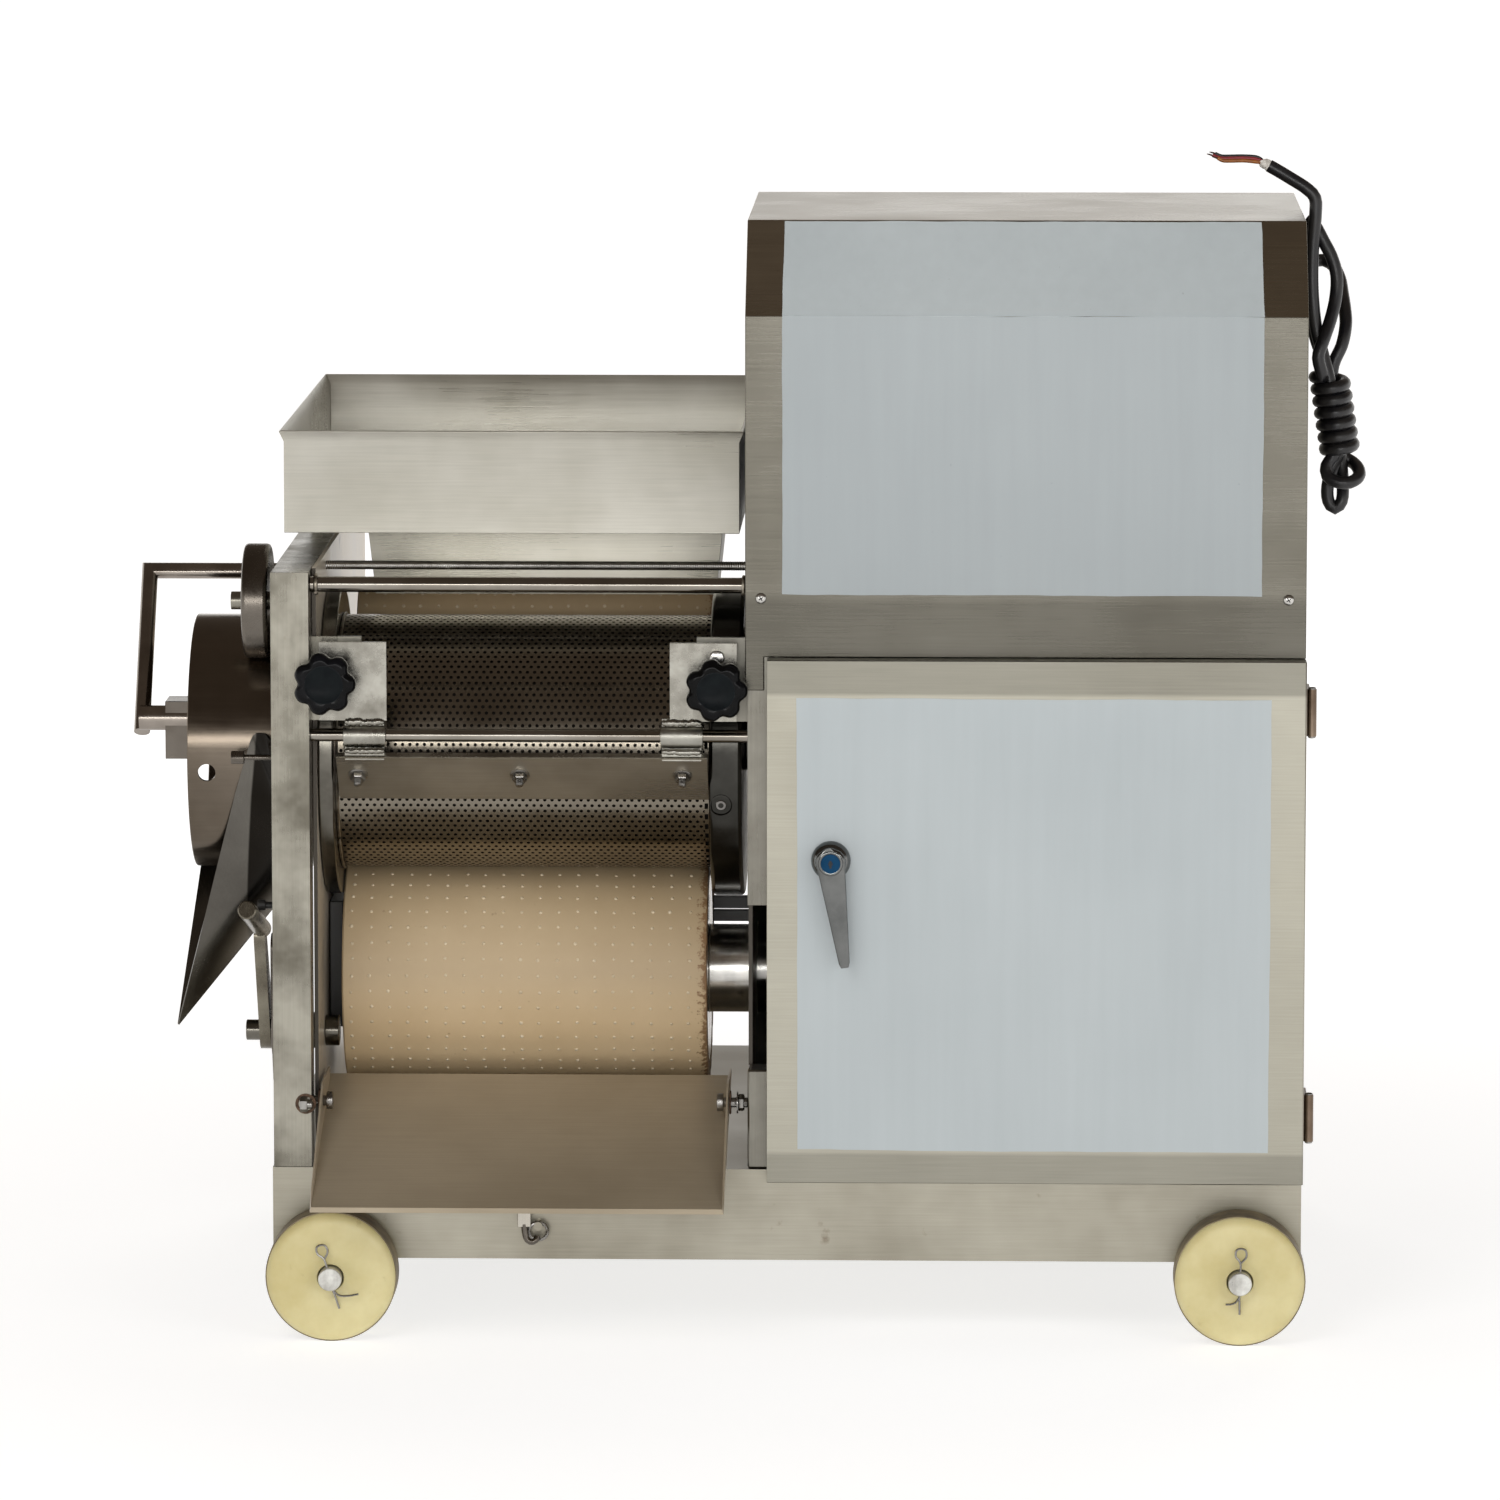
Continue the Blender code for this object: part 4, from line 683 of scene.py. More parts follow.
# ------------------------------------------------------------------ pieces shaped as the CAD model has them
SHAPED = {
    "sheet_x": "base_pan", "sheet_z": "cabinet_panel", "post_right": "right_post_lower right_post_upper",
    "hood_sheet": "hood", "door_sheet": "cabinet_door", "hopper": "hopper",
    "post": "left_post_front left_rear_frame",
    "inner": "left_side_plate right_side_plate",
    "tray": "bone_tray", "drum_end": "inner_auger",
    "turned": "drum_flange_left lever_shaft", "flange": "drum_flange_right",
    "ground": "scraper_carrier", "lever": "pressure_lever", "axle_face": "axle_left axle_right",
    "rod": "tie_rod scraper_rod", "dull": "lever_quadrant auger_clamp chute_bolt_upper support_roller",
    "arm": "auger_arm",
    "machined": "drum_gear drum_bearing drive_roller_gear upper_roller motor_pinion latch_cam "
                "tray_bolt_left tray_bolt_right",
    "hub": "drive_roller", "blade": "scraper_blade", "prop": "tray_prop",
    "block": "roller_bearing_block chute_bolt_lower", "enamel": "gear_reducer",
    "brown": "door_hinge_upper door_hinge_lower", "motor_paint": "drive_motor",
}
EDGES = {  # how far the edges are rounded, and whose
    0.0003: "drum_gear drive_roller_gear motor_pinion",
    0.0004: "cabinet_panel hopper bone_tray door_hinge_upper door_hinge_lower chute_bolt_upper "
            "chute_bolt_lower tie_rod",
    0.0005: "scraper_blade tray_prop tray_bolt_left tray_bolt_right",
    0.0006: "scraper_carrier lever_shaft",
    0.0008: "lever_quadrant upper_roller",
    0.0009: "axle_left axle_right",
    0.0010: "base_pan cabinet_door auger_clamp drum_flange_left drum_flange_right drive_roller",
    0.0011: "hood",
    0.0012: "pressure_lever support_roller drive_motor",
    0.0016: "right_post_upper right_post_lower",
    0.0018: "left_rear_frame",
    0.0020: "roller_bearing_block",
    0.0022: "left_post_front",
    0.0040: "gear_reducer",
}
EDGE = {name: width for width, names in EDGES.items() for name in names.split()}


def dress(name, look):
    """A piece with the CAD node's own shape, its faces joined, its edges rounded."""
    node = nodes[name]
    shape = bmesh.new()
    shape.from_mesh(node.data)
    bmesh.ops.remove_doubles(shape, verts=shape.verts, dist=0.00002)
    bmesh.ops.dissolve_limit(shape, angle_limit=math.radians(0.4), verts=shape.verts,
                             edges=shape.edges)
    bmesh.ops.translate(shape, verts=shape.verts, vec=ORIGIN)
    return put(name + "_piece", shape, look, node["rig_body"], (name,),
               bevel=EDGE.get(name, 0.0))


for look, names in SHAPED.items():
    for name in names.split():
        dress(name, look)

# ------------------------------------------------------------------ perforated drum
DRUM = Vector((0.0, 0.150, 0.437))
DRUM_RADIUS, DRUM_INSIDE = 0.098, 0.095
DRUM_LEFT, DRUM_RIGHT = -0.068, 0.3323
HOLE_FROM, HOLE_TO = 0.0475, 0.3315
HOLE_RADIUS, HOLE_DEPTH, HOLE_ROWS, HOLE_PITCH = 0.00145, 0.0022, 126, 0.0056
FLANGE_BOLTS, FLANGE_BOLT_X, FLANGE_BOLT_RING = 3, 0.3420, 0.1165


def build_drum():
    """The drum: a plate with staggered holes, rolled round, with plain ends and an inner skin."""
    columns = round((HOLE_TO - HOLE_FROM) / HOLE_PITCH)
    pitch = (HOLE_TO - HOLE_FROM) / columns
    step = TAU / HOLE_ROWS
    low = DRUM_RADIUS - HOLE_DEPTH
    verts, faces, index = [], [], {}

    def point(x, angle, radius):
        key = (round(x, 6), round(angle / step * 24) % (HOLE_ROWS * 24), radius)
        if key not in index:
            index[key] = len(verts)
            verts.append((x, DRUM.y + radius * math.cos(angle), DRUM.z + radius * math.sin(angle)))
        return index[key]

    half, tall = pitch / 2, step / 2
    ring = [(HOLE_RADIUS * math.cos(TAU * k / 6 + TAU / 12),
             HOLE_RADIUS / DRUM_RADIUS * math.sin(TAU * k / 6 + TAU / 12)) for k in range(6)]
    frame_ring = [(half, tall), (0.0, tall), (-half, tall), (-half, -tall), (0.0, -tall), (half, -tall)]
    for row in range(HOLE_ROWS):
        middle = row * step
        offset = half if row % 2 else 0.0
        for column in range(columns):
            x = HOLE_FROM + half + column * pitch + offset
            if x + half > HOLE_TO + 0.0001:
                continue
            outer = [point(x + u, middle + v, DRUM_RADIUS) for u, v in frame_ring]
            start = len(verts)
            for radius in (DRUM_RADIUS, low):
                for u, v in ring:
                    verts.append((x + u, DRUM.y + radius * math.cos(middle + v),
                                  DRUM.z + radius * math.sin(middle + v)))
            for k in range(6):
                n = (k + 1) % 6
                faces.append((outer[k], outer[n], start + n, start + k))
                faces.append((start + k, start + n, start + 6 + n, start + 6 + k))
        for x0, x1 in ((HOLE_FROM, HOLE_FROM + half), (HOLE_TO - half, HOLE_TO)):
            if (row % 2) == (x0 == HOLE_FROM):
                faces.append(tuple(point(x, middle + v, DRUM_RADIUS)
                                   for x, v in ((x0, -tall), (x1, -tall), (x1, tall), (x0, tall))))
    shape = bmesh.new()
    made = [shape.verts.new(v) for v in verts]
    for face in faces:
        shape.faces.new([made[i] for i in face])
    bmesh.ops.recalc_face_normals(shape, faces=shape.faces)
    for face in shape.faces:
        centre = face.calc_center_median()
        out = Vector((0.0, centre.y - DRUM.y, centre.z - DRUM.z))
        if face.normal.dot(out) < -0.5 * out.length:
            face.normal_flip()
    return shape


put("drum_perforated", build_drum(), "drum", "drum", ("drum_shell",), sharp=40)
# the drum's inner skin is near black: painted shade inside the drum
for name, look, left, right, outside, sides in (
        ("drum_inner_skin", "bore_painted_shade", HOLE_FROM + 0.0005, HOLE_TO - 0.0005, DRUM_RADIUS - 0.0023, 96),
        ("drum_right_band", "drum", HOLE_TO, DRUM_RIGHT, DRUM_RADIUS, 126)):
    pipe = ((left, outside), (right, outside), (right, DRUM_INSIDE), (left, DRUM_INSIDE))
    put(name, turned(pipe, DRUM, "X", sides, True), look, "drum")


def drum_end():
    """The drum's plain left end, with two round holes for the tool that pulls it off."""
    profile = [(DRUM_LEFT, DRUM_INSIDE + 0.0006), (DRUM_LEFT, DRUM_RADIUS - 0.0006),
               (DRUM_LEFT + 0.0006, DRUM_RADIUS), (HOLE_FROM, DRUM_RADIUS),
               (HOLE_FROM, DRUM_INSIDE), (DRUM_LEFT + 0.0006, DRUM_INSIDE)]
    piece = put("drum_plain_end", turned(profile, DRUM, "X", 144, True), "drum_end", "drum")
    cutter_shape = turned(((-0.20, 0.0068), (0.20, 0.0068)), (-0.0530, 0.0, 0.0), "Z", 28)
    lean = math.radians(97.5)
    spin = Matrix.Translation(DRUM) @ Matrix.Rotation(lean, 4, "X")
    bmesh.ops.transform(cutter_shape, matrix=spin, verts=cutter_shape.verts)
    bmesh.ops.translate(cutter_shape, verts=cutter_shape.verts, vec=-ORIGIN)
    cutter_mesh = bpy.data.meshes.new("puller_holes")
    cutter_shape.to_mesh(cutter_mesh)
    cutter_shape.free()
    cutter = bpy.data.objects.new("puller_holes", cutter_mesh)
    bpy.context.scene.collection.objects.link(cutter)
    cut = piece.modifiers.new("holes", "BOOLEAN")
    cut.object = cutter
    cut.solver = "EXACT"
    bpy.context.view_layer.update()
    holed = bpy.data.meshes.new_from_object(piece.evaluated_get(bpy.context.evaluated_depsgraph_get()))
    piece.modifiers.clear()
    piece.data = holed
    piece.data.shade_smooth()
    piece.data.set_sharp_from_angle(angle=math.radians(35))
    bpy.data.objects.remove(cutter)


drum_end()
weld_ring = ring_line(HOLE_FROM - 0.0006, DRUM.y, DRUM.z, DRUM_RADIUS + 0.0006, 96)
put("drum_flange_bead", ball_bead(weld_ring, 0.0011, 3, 6), "weld", "drum")

# the right flange's bolts, each in a round seat; the first shows below the scraper
bolt_angle = math.atan2(0.4030 - DRUM.z, 0.0361 - DRUM.y)
for k in range(FLANGE_BOLTS):
    angle = bolt_angle + TAU * k / FLANGE_BOLTS
    out = Vector((0.0, math.cos(angle), math.sin(angle)))
    seat = DRUM + Vector((FLANGE_BOLT_X, 0.0, 0.0)) + FLANGE_BOLT_RING * out
    ring_shape = turned_to(up([(-0.0004, 0.0086), (0.0029, 0.0086), (0.0031, 0.0080), (0.0012, 0.0074),
                               (0.0008, 0.0046), (-0.0004, 0.0044)], 32, True), seat, out)
    put(f"flange_bolt_seat_{k}", ring_shape, "flange", "drum")
    head = merged(up([(-0.0004, 0.0043), (0.0024, 0.0043), (0.0030, 0.0037), (0.0030, 0.0021),
                      (0.0012, 0.0020), (0.0012, 0.0001)], 28))
    put(f"flange_bolt_{k}", turned_to(head, seat, out), "machined", "drum")

# ------------------------------------------------------------------ pulp chute
CHUTE_EDGE = (0.0004, Vector((0.0, 0.150, 0.445)), 0.1235, 0.1250)
CHUTE_FRONT, CHUTE_TIP = Vector((-0.017, 0.0265, 0.455)), Vector((-0.086, 0.150, 0.2130))
CHUTE_REAR, CHUTE_SHEET = Vector((-0.058, 0.2660, 0.445)), 0.0015
CHUTE_GRID = (72, 14)    # steps round its edge and steps down
CHUTE_PEAK = ((-0.0012, 0.4500), (-0.0022, 0.4545), (-0.0048, 0.4570), (-0.0085, 0.4576),
              (-0.0125, 0.4570), (-0.0155, 0.4545), (-0.0178, 0.4500))


def build_chute():
    """A pointed scoop of thin sheet, from the left frame down to its tip."""
    x, centre, wide, tall = CHUTE_EDGE
    columns, rows = CHUTE_GRID
    grid = []
    for i in range(columns + 1):
        share = i / columns
        angle = math.pi * (1 + share)
        edge = Vector((x, centre.y + wide * math.cos(angle), centre.z + tall * math.sin(angle)))
        lip = (CHUTE_FRONT.lerp(CHUTE_TIP, 2 * share) if share <= 0.5
               else CHUTE_TIP.lerp(CHUTE_REAR, 2 * share - 1))
        if i < len(CHUTE_PEAK):
            lip = Vector((CHUTE_PEAK[i][0], lip.y, CHUTE_PEAK[i][1]))
        grid.append([edge.lerp(lip, j / rows) for j in range(rows + 1)])
    shape = bmesh.new()
    layers = []
    for side in (0.0, CHUTE_SHEET):
        layer = []
        for i in range(columns + 1):
            row = []
            for j in range(rows + 1):
                across = grid[min(i + 1, columns)][j] - grid[max(i - 1, 0)][j]
                down = grid[i][min(j + 1, rows)] - grid[i][max(j - 1, 0)]
                out = down.cross(across).normalized()
                away = grid[i][j] - centre
                if out.y * away.y + out.z * away.z < 0:
                    out = -out
                row.append(shape.verts.new(grid[i][j] + side * out))
            layer.append(row)
        layers.append(layer)
    inner, outer = layers
    for i in range(columns):
        for j in range(rows):
            for layer in layers:
                shape.faces.new((layer[i][j], layer[i][j + 1], layer[i + 1][j + 1], layer[i + 1][j]))
        for j in (0, rows):
            shape.faces.new((inner[i][j], inner[i + 1][j], outer[i + 1][j], outer[i][j]))
    for i in (0, columns):
        for j in range(rows):
            shape.faces.new((inner[i][j], inner[i][j + 1], outer[i][j + 1], outer[i][j]))
    bmesh.ops.recalc_face_normals(shape, faces=shape.faces)
    return shape


put("pulp_chute_scoop", build_chute(), "chute", replaces=("pulp_chute",), sharp=50)

# ------------------------------------------------------------------ belt
BELT_X = (0.0463, 0.3290)
UPPER = Vector((0.0, 0.325, 0.495))
DRIVE_ANGLE = math.radians(-78)
GEAR_CENTRES = 0.188
BELT_GAP, BELT_THICK = 0.0005, 0.016
BELT_RADIUS = GEAR_CENTRES - DRUM_RADIUS - BELT_GAP
UPPER_RADIUS = 0.048
STUD_COLUMNS, STUD_PITCH, STUD_ROW_PITCH = 19, 0.01452, 0.0128
STUD_PROFILE = ((-0.0003, 0.00150), (0.0004, 0.00115), (0.0008, 0.0006))    # height, radius
DRIVE = DRUM + GEAR_CENTRES * Vector((0.0, math.cos(DRIVE_ANGLE), math.sin(DRIVE_ANGLE)))


def belt_line(depth, fine=1):
    """The belt's loop at a depth under its outer face, as (point, outward normal)."""
    rise = UPPER - DRIVE
    rear = math.atan2(rise.z, rise.y) - math.acos((BELT_RADIUS - UPPER_RADIUS) / rise.length)
    reach = UPPER - DRUM
    leave = math.atan2(reach.z, reach.y) - math.acos((DRUM_RADIUS + BELT_GAP + UPPER_RADIUS)
                                                     / reach.length)
    facing = DRIVE_ANGLE + math.pi
    line = []
    for centre, radius, start, end, count, sign in (
            (DRIVE, BELT_RADIUS - depth, facing, rear + TAU, 64 * fine, 1),
            (UPPER, UPPER_RADIUS - depth, rear, leave + math.pi, 32 * fine, 1),
            (DRUM, DRUM_RADIUS + BELT_GAP + depth, leave, DRIVE_ANGLE, 16 * fine, -1)):
        for i in range(count):
            angle = start + (end - start) * i / count
            out = Vector((0.0, math.cos(angle), math.sin(angle)))
            line.append((centre + radius * out, sign * out))
    return line


def build_belt():
    """The belt, with its left edge chamfered and its right edge unevenly worn."""
    shake = random.Random(11)
    outer, inner = belt_line(0.0), belt_line(BELT_THICK)
    left, right = BELT_X
    rings = []
    for (top, out), (under, _) in zip(outer, inner):
        worn = 0.0004 + 0.0011 * shake.random() ** 2
        section = ((left + 0.0012, under, 0.0), (left, under, 0.001), (left, top, -0.0012),
                   (left + 0.0012, top, 0.0), (right - 0.0060, top, 0.0),
                   (right - 0.0022 - worn, top, -0.0002), (right - worn * 0.6, top, -0.0014),
                   (right, under, 0.001), (right - 0.0012, under, 0.0))
        rings.append([Vector((x, spot.y, spot.z)) + lift * out for x, spot, lift in section])
    return skin(rings, loop=True)


put("belt_loop", build_belt(), "belt_rubber", replaces=("rubber_belt",))


def build_studs():
    """The belt's raised dots, in slightly uneven rows."""
    shake = random.Random(5)
    line = belt_line(0.0, 8)
    lengths = [(b[0] - a[0]).length for a, b in zip(line, line[1:] + line[:1])]
    total = sum(lengths)
    rows = round(total / STUD_ROW_PITCH)
    shape = bmesh.new()
    travelled, row, sides = 0.0, 0, 8
    side = Vector((1.0, 0.0, 0.0))
    for i, length in enumerate(lengths):
        while row < rows and travelled + length >= row * total / rows:
            spot, out = line[i]
            other = out.cross(side)
            slip = shake.uniform(-0.0006, 0.0006)
            for column in range(STUD_COLUMNS):
                x = BELT_X[0] + 0.0075 + column * STUD_PITCH + shake.uniform(-0.0009, 0.0009)
                if x > BELT_X[1] - 0.0085:
                    continue
                middle = Vector((x, spot.y, spot.z)) + other * (slip + shake.uniform(-0.0007, 0.0007))
                size = shake.uniform(0.9, 1.15)
                rings = []
                for height, radius in STUD_PROFILE:
                    ring = circle(middle + out * height * size, side, other, size * radius, sides)
                    rings.append([shape.verts.new(point) for point in ring])
                for low, high in zip(rings, rings[1:]):
                    for k in range(sides):
                        n = (k + 1) % sides
                        shape.faces.new((low[k], low[n], high[n], high[k]))
                shape.faces.new(rings[-1])
            row += 1
        travelled += length
    bmesh.ops.recalc_face_normals(shape, faces=shape.faces)
    return shape


put("belt_studs", build_studs(), "stud", sharp=80)

# ------------------------------------------------------------------ wheels, axle ends and pins
AXLES = {"left": 0.047, "right": 0.7385}
WHEEL_RADIUS, WHEEL_Z = 0.050, 0.050


def wheel(x, inner_y, outward):
    """A nylon wheel with a domed face, from its inner face outward along Y."""
    steps = [(0.0, 0.0098), (0.0, 0.0440), (0.0012, 0.0475), (0.0040, 0.0495), (0.0075, WHEEL_RADIUS),
             (0.0300, WHEEL_RADIUS), (0.0345, 0.0493), (0.0375, 0.0475), (0.0392, 0.0445),
             (0.0398, 0.0410), (0.0400, 0.0300), (0.0400, 0.0155), (0.0396, 0.0148), (0.0396, 0.0105),
             (0.0385, 0.0098)]
    profile = [(inner_y + outward * depth, radius) for depth, radius in steps]
    return turned(profile, (x, 0.0, WHEEL_Z), "Y", 72, True)


for side, x in AXLES.items():
    for end, inner_y, outward in (("front", -0.005, -1.0), ("rear", 0.575, 1.0)):
        body = f"wheel_{end}_{side}_group"
        put(f"wheel_{end}_{side}_tyre", wheel(x, inner_y, outward), "nylon", body,
            (f"wheel_{end}_{side}",))
        leg, lean = (0.9, -0.25) if side == "left" else (-0.5, 0.05)
        pin = [(-0.0005, 0.0, 0.0155), (0.0035, 0.0, 0.0205), (0.0030, 0.0, 0.0255), (-0.0005, 0.0, 0.0270),
               (-0.0040, 0.0, 0.0255), (-0.0042, 0.0, 0.0205), (-0.0004, 0.0, 0.0150),
               (-0.0003, 0.0, 0.0), (0.0, 0.0, -0.0100), (0.0005, 0.0, -0.0145),
               (0.0010, -0.0006 * outward, -0.0240)]
        bent = [(0.0004, 0.0, -0.0095), (0.0040 * leg, -0.0004, -0.0140),
                (0.0110 * leg, -0.0006, -0.0160), (0.0200 * leg, -0.0008, -0.0165)]
        middle = Vector((x, inner_y + outward * 0.0425 + outward * 0.0015, WHEEL_Z))
        turn = Matrix.Translation(middle) @ Matrix.Rotation(lean, 4, "Y")
        shape = merged(rod(smooth_route(pin, 0.0012), 0.00085, 8),
                       rod(smooth_route(bent, 0.0015), 0.00080, 8))
        bmesh.ops.transform(shape, matrix=turn, verts=shape.verts)
        put(f"cotter_pin_{end}_{side}", shape, "machined")
        # a dark ring on each tyre's rolling face: dirt and painted shade
        tread_dirt_and_shade = [(inner_y + outward * depth, WHEEL_RADIUS + lift) for depth, lift in (
            (0.0060, -0.0010), (0.0062, 0.0002), (0.0345, 0.0000), (0.0347, -0.0012))]
        put(f"wheel_{end}_{side}_tread", turned(tread_dirt_and_shade, (x, 0.0, WHEEL_Z), "Y", 72, True), "tread_dirt_and_shade", body)

# ------------------------------------------------------------------ scraper, knobs and rods
SCRAPER_TOP = Vector((0.0, 0.011, 0.446))
SLOPE = math.radians(-43.9)
SLOPE_DOWN = Vector((0.0, math.cos(SLOPE), math.sin(SLOPE)))
SLOPE_FACE = Vector((0.0, math.sin(SLOPE), -math.cos(SLOPE)))
KNOB_RADIUS, KNOB_LOBES = 0.0240, 7


def nut_and_stud(seat, heading, size, height, stud):
    """A washer, a chamfered hexagon nut and a stud's threaded end."""
    across = 0.0030
    washer = up([(0.0, size * 1.28), (0.0010, size * 1.28), (0.0012, size * 1.20)], 24)
    nut = hexagon(size, 0.0012, 0.0012 + height, height * 0.16)
    threads = [(0.0012 + height, across)]
    turns = max(2, round(stud / 0.0008))
    for i in range(turns):
        z = 0.0012 + height + stud * (i + 0.5) / turns
        threads += [(z - 0.0002, across), (z, across * 0.86)]
    threads += [(0.0012 + height + stud, across * 0.9), (0.0016 + height + stud, across * 0.6)]
    return turned_to(merged(washer, nut, up(threads, 18)), seat, heading)


holder_face = []
for place, lift in ((0.0006, 0.0041), (0.0514, 0.0041), (0.0514, 0.0045), (0.0006, 0.0045)):
    corner = SCRAPER_TOP + place * SLOPE_DOWN + lift * SLOPE_FACE
    holder_face.append((corner.y, corner.z))
put("blade_holder_face", prism(holder_face, "X", 0.0497, 0.3323), "blade", "scraper")
for i, x in enumerate((0.0655, 0.1890, 0.3130)):
    seat = Vector((x, 0.0, 0.0)) + SCRAPER_TOP + 0.022 * SLOPE_DOWN + 0.0044 * SLOPE_FACE
    put(f"blade_bolt_{i}", nut_and_stud(seat, SLOPE_FACE, 0.0058, 0.0046, 0.0045), "machined",
        "scraper", sharp=28)

# weld beads above and below the scraper's sleeves
for side, (low, high) in {"left": (0.0560, 0.0870), "right": (0.2975, 0.3285)}.items():
    for level, (y, z, radius) in {"upper": (0.0072, 0.4700, 0.0026),
                                  "lower": (0.0068, 0.4478, 0.0023)}.items():
        points = line_points((low, y, z), (high, y, z), 22, 0.0004, len(side) + len(level) + round(z * 999))
        put(f"sleeve_weld_{side}_{level}", ball_bead(points, radius, round(z * 1000), 10), "ground",
            "scraper", sharp=70)


def build_knob(size):
    """A seven-lobed hand knob, its face up the Z axis, with soft edges and a shallow dished face."""
    def lobe(angle, radius):
        share = min(1.0, radius / (0.6 * size))
        return 1.0 - 0.078 * share * (1.0 - math.cos(KNOB_LOBES * angle)) + 0.016 * share * (
            1.0 - math.cos(2 * KNOB_LOBES * angle))

    profile = [(-0.0080, 0.0098), (-0.0068, 0.0100), (0.0004, 0.0104), (0.0008, size * 0.80),
               (0.0016, size * 0.91), (0.0032, size * 0.975), (0.0058, size), (0.0096, size),
               (0.0122, size * 0.975), (0.0142, size * 0.91), (0.0152, size * 0.82),
               (0.0156, size * 0.72), (0.0153, size * 0.66), (0.0152, size * 0.30), (0.0152, 0.0008)]
    return turned(profile, (0.0, 0.0, 0.0), "Z", 140, False, lobe)


KNOBS = {"left": Vector((0.0430, -0.0080, 0.502)), "right": Vector((0.3400, -0.0080, 0.498))}
for side, seat in KNOBS.items():
    body = side + "_knob"
    put(f"knob_{side}_star", turned_to(build_knob(KNOB_RADIUS), seat), "knob", body,
        (f"knob_{side}",), sharp=50)
    face_ring = up([(0.0150, 0.0148), (0.0155, 0.0147), (0.0156, 0.0139), (0.0154, 0.0136),
                    (0.0154, 0.0010)], 48)
    put(f"knob_{side}_face", turned_to(face_ring, seat), "knob_face", body)
    threads = [(-0.0080, 0.0037)]
    for i in range(34):
        z = -0.0080 - 0.00105 * (i + 0.5)
        threads += [(z + 0.0003, 0.0039), (z, 0.0034)]
    threads += [(-0.0438, 0.0037), (-0.0440, 0.0030)]
    put(f"knob_{side}_stud", turned_to(up(threads[::-1], 24), seat), "bright", body)
stop_cap = up([(0.0, 0.0052), (0.0005, 0.0058), (0.0045, 0.0058), (0.0056, 0.0050), (0.0062, 0.0028),
               (0.0062, 0.0003)], 28)
stop_seat = KNOBS["right"] + Vector((0.0000, 0.0148, 0.0225))
put("lever_stop_right", turned_to(stop_cap, stop_seat), "bright", "scraper")


def threaded_bar(start, length, radius, pitch):
    """A threaded rod from start along +X, with a true helical thread."""
    steps = round(length / pitch) * 10
    rings = []
    for i in range(steps + 1):
        x = start.x + length * i / steps
        ring = []
        for j in range(20):
            angle = TAU * j / 20
            phase = (length * i / steps / pitch - j / 20) % 1.0
            reach = radius - 0.0005 * abs(2 * phase - 1)
            ring.append(Vector((x, start.y + reach * math.cos(angle), start.z + reach * math.sin(angle))))
        rings.append(ring)
    return skin(rings)


put("threaded_rod_thread", threaded_bar(Vector((0.0338, 0.132, 0.576)), 0.3274, 0.0037, 0.00175),
    "bright", replaces=("threaded_rod",), sharp=70)

# the auger arm's foot, lapped over the clamp's front
foot = Vector((-0.1125, 0.1413, 0.4550))
put("auger_arm_foot", rod(line_points(foot, foot + Vector((0.0420, 0.0, 0.0)), 6), 0.0097, 24), "arm")

# ------------------------------------------------------------------ small welds on the frame
BEADS = (  # name, ring round X (x, y, z, radius, steps), thickness, look, body
    ("tie_rod_left", (0.0348, 0.015, 0.5745, 0.0068, 20), 0.0016, "weld", STILL),
    ("tie_rod_right", (0.3600, 0.015, 0.5745, 0.0068, 20), 0.0014, "weld", STILL),
    ("grip_root", (-0.0112, 0.0470, 0.3035, 0.0080, 18), 0.0020, "rust_weld", "lever"),
)
for name, ring, thick, look, body in BEADS:
    bead = ball_bead(ring_line(*ring), thick, len(name), 8)
    put("bead_" + name, bead, look, body, sharp=70)

# the two dark guard bars between the drum's flange and the roller's hub
for name, low, high in (("upper", 0.2990, 0.3085), ("lower", 0.2888, 0.2976)):
    bar = block((0.3308, 0.196, low), (0.3629, 0.204, high))
    put("guard_bar_" + name, bar, "block", bevel=0.0006)

# the strip that closes the corner between the inner side plate and the back sheet
seam = block((0.36635, 0.5652, 0.1282), (0.3700, 0.5669, 0.5205))
put("cabinet_seam_strip", seam, "sheet_z", bevel=0.0003)

# ------------------------------------------------------------------ tray bolts and prop
PIVOT = Vector((0.0, 0.015, 0.1765))
washer_x = {"left": (0.0358, -1.0), "right": (0.3492, 1.0)}
for side, (x, sign) in washer_x.items():
    washer = up([(0.0, 0.0043), (0.0, 0.0088), (0.0010, 0.0090), (0.0013, 0.0086), (0.0013, 0.0043)],
                32, True)
    put("tray_washer_" + side, turned_to(washer, (x, PIVOT.y, PIVOT.z), (sign, 0.0, 0.0)), "rust")

post_nut = merged(hexagon(0.0062, 0.0, 0.0056, 0.0010), up([(0.0056, 0.0036), (0.0090, 0.0036),
                                                            (0.0095, 0.0031)], 20))
put("tray_post_nut", turned_to(post_nut, (0.0215, -0.0022, PIVOT.z), (1.0, 0.0, 0.0)), "machined")
end_nut = merged(hexagon(0.0066, 0.0, 0.0048, 0.0010), up([(0.0, 0.0085), (0.0, 0.0046),
                                                           (-0.0010, 0.0046), (-0.0010, 0.0085)], 26, True))
put("tray_end_nut", turned_to(end_nut, (0.3558, PIVOT.y, PIVOT.z), (1.0, 0.0, 0.0)), "machined")
rust_ring = up([(-0.0004, 0.0080), (0.0003, 0.0078), (0.0004, 0.0060), (-0.0004, 0.0050)], 30, True)
put("tray_post_rust", turned_to(rust_ring, (0.0255, -0.0001, PIVOT.z)), "rust")
ring_middle = Vector((0.2035, -0.0080, 0.0800))
ring_points = [ring_middle + Vector((0.0072 * math.cos(TAU * i / 40), 0.0012 * math.sin(TAU * i / 20),
                                     0.0066 * math.sin(TAU * i / 40))) for i in range(41)]
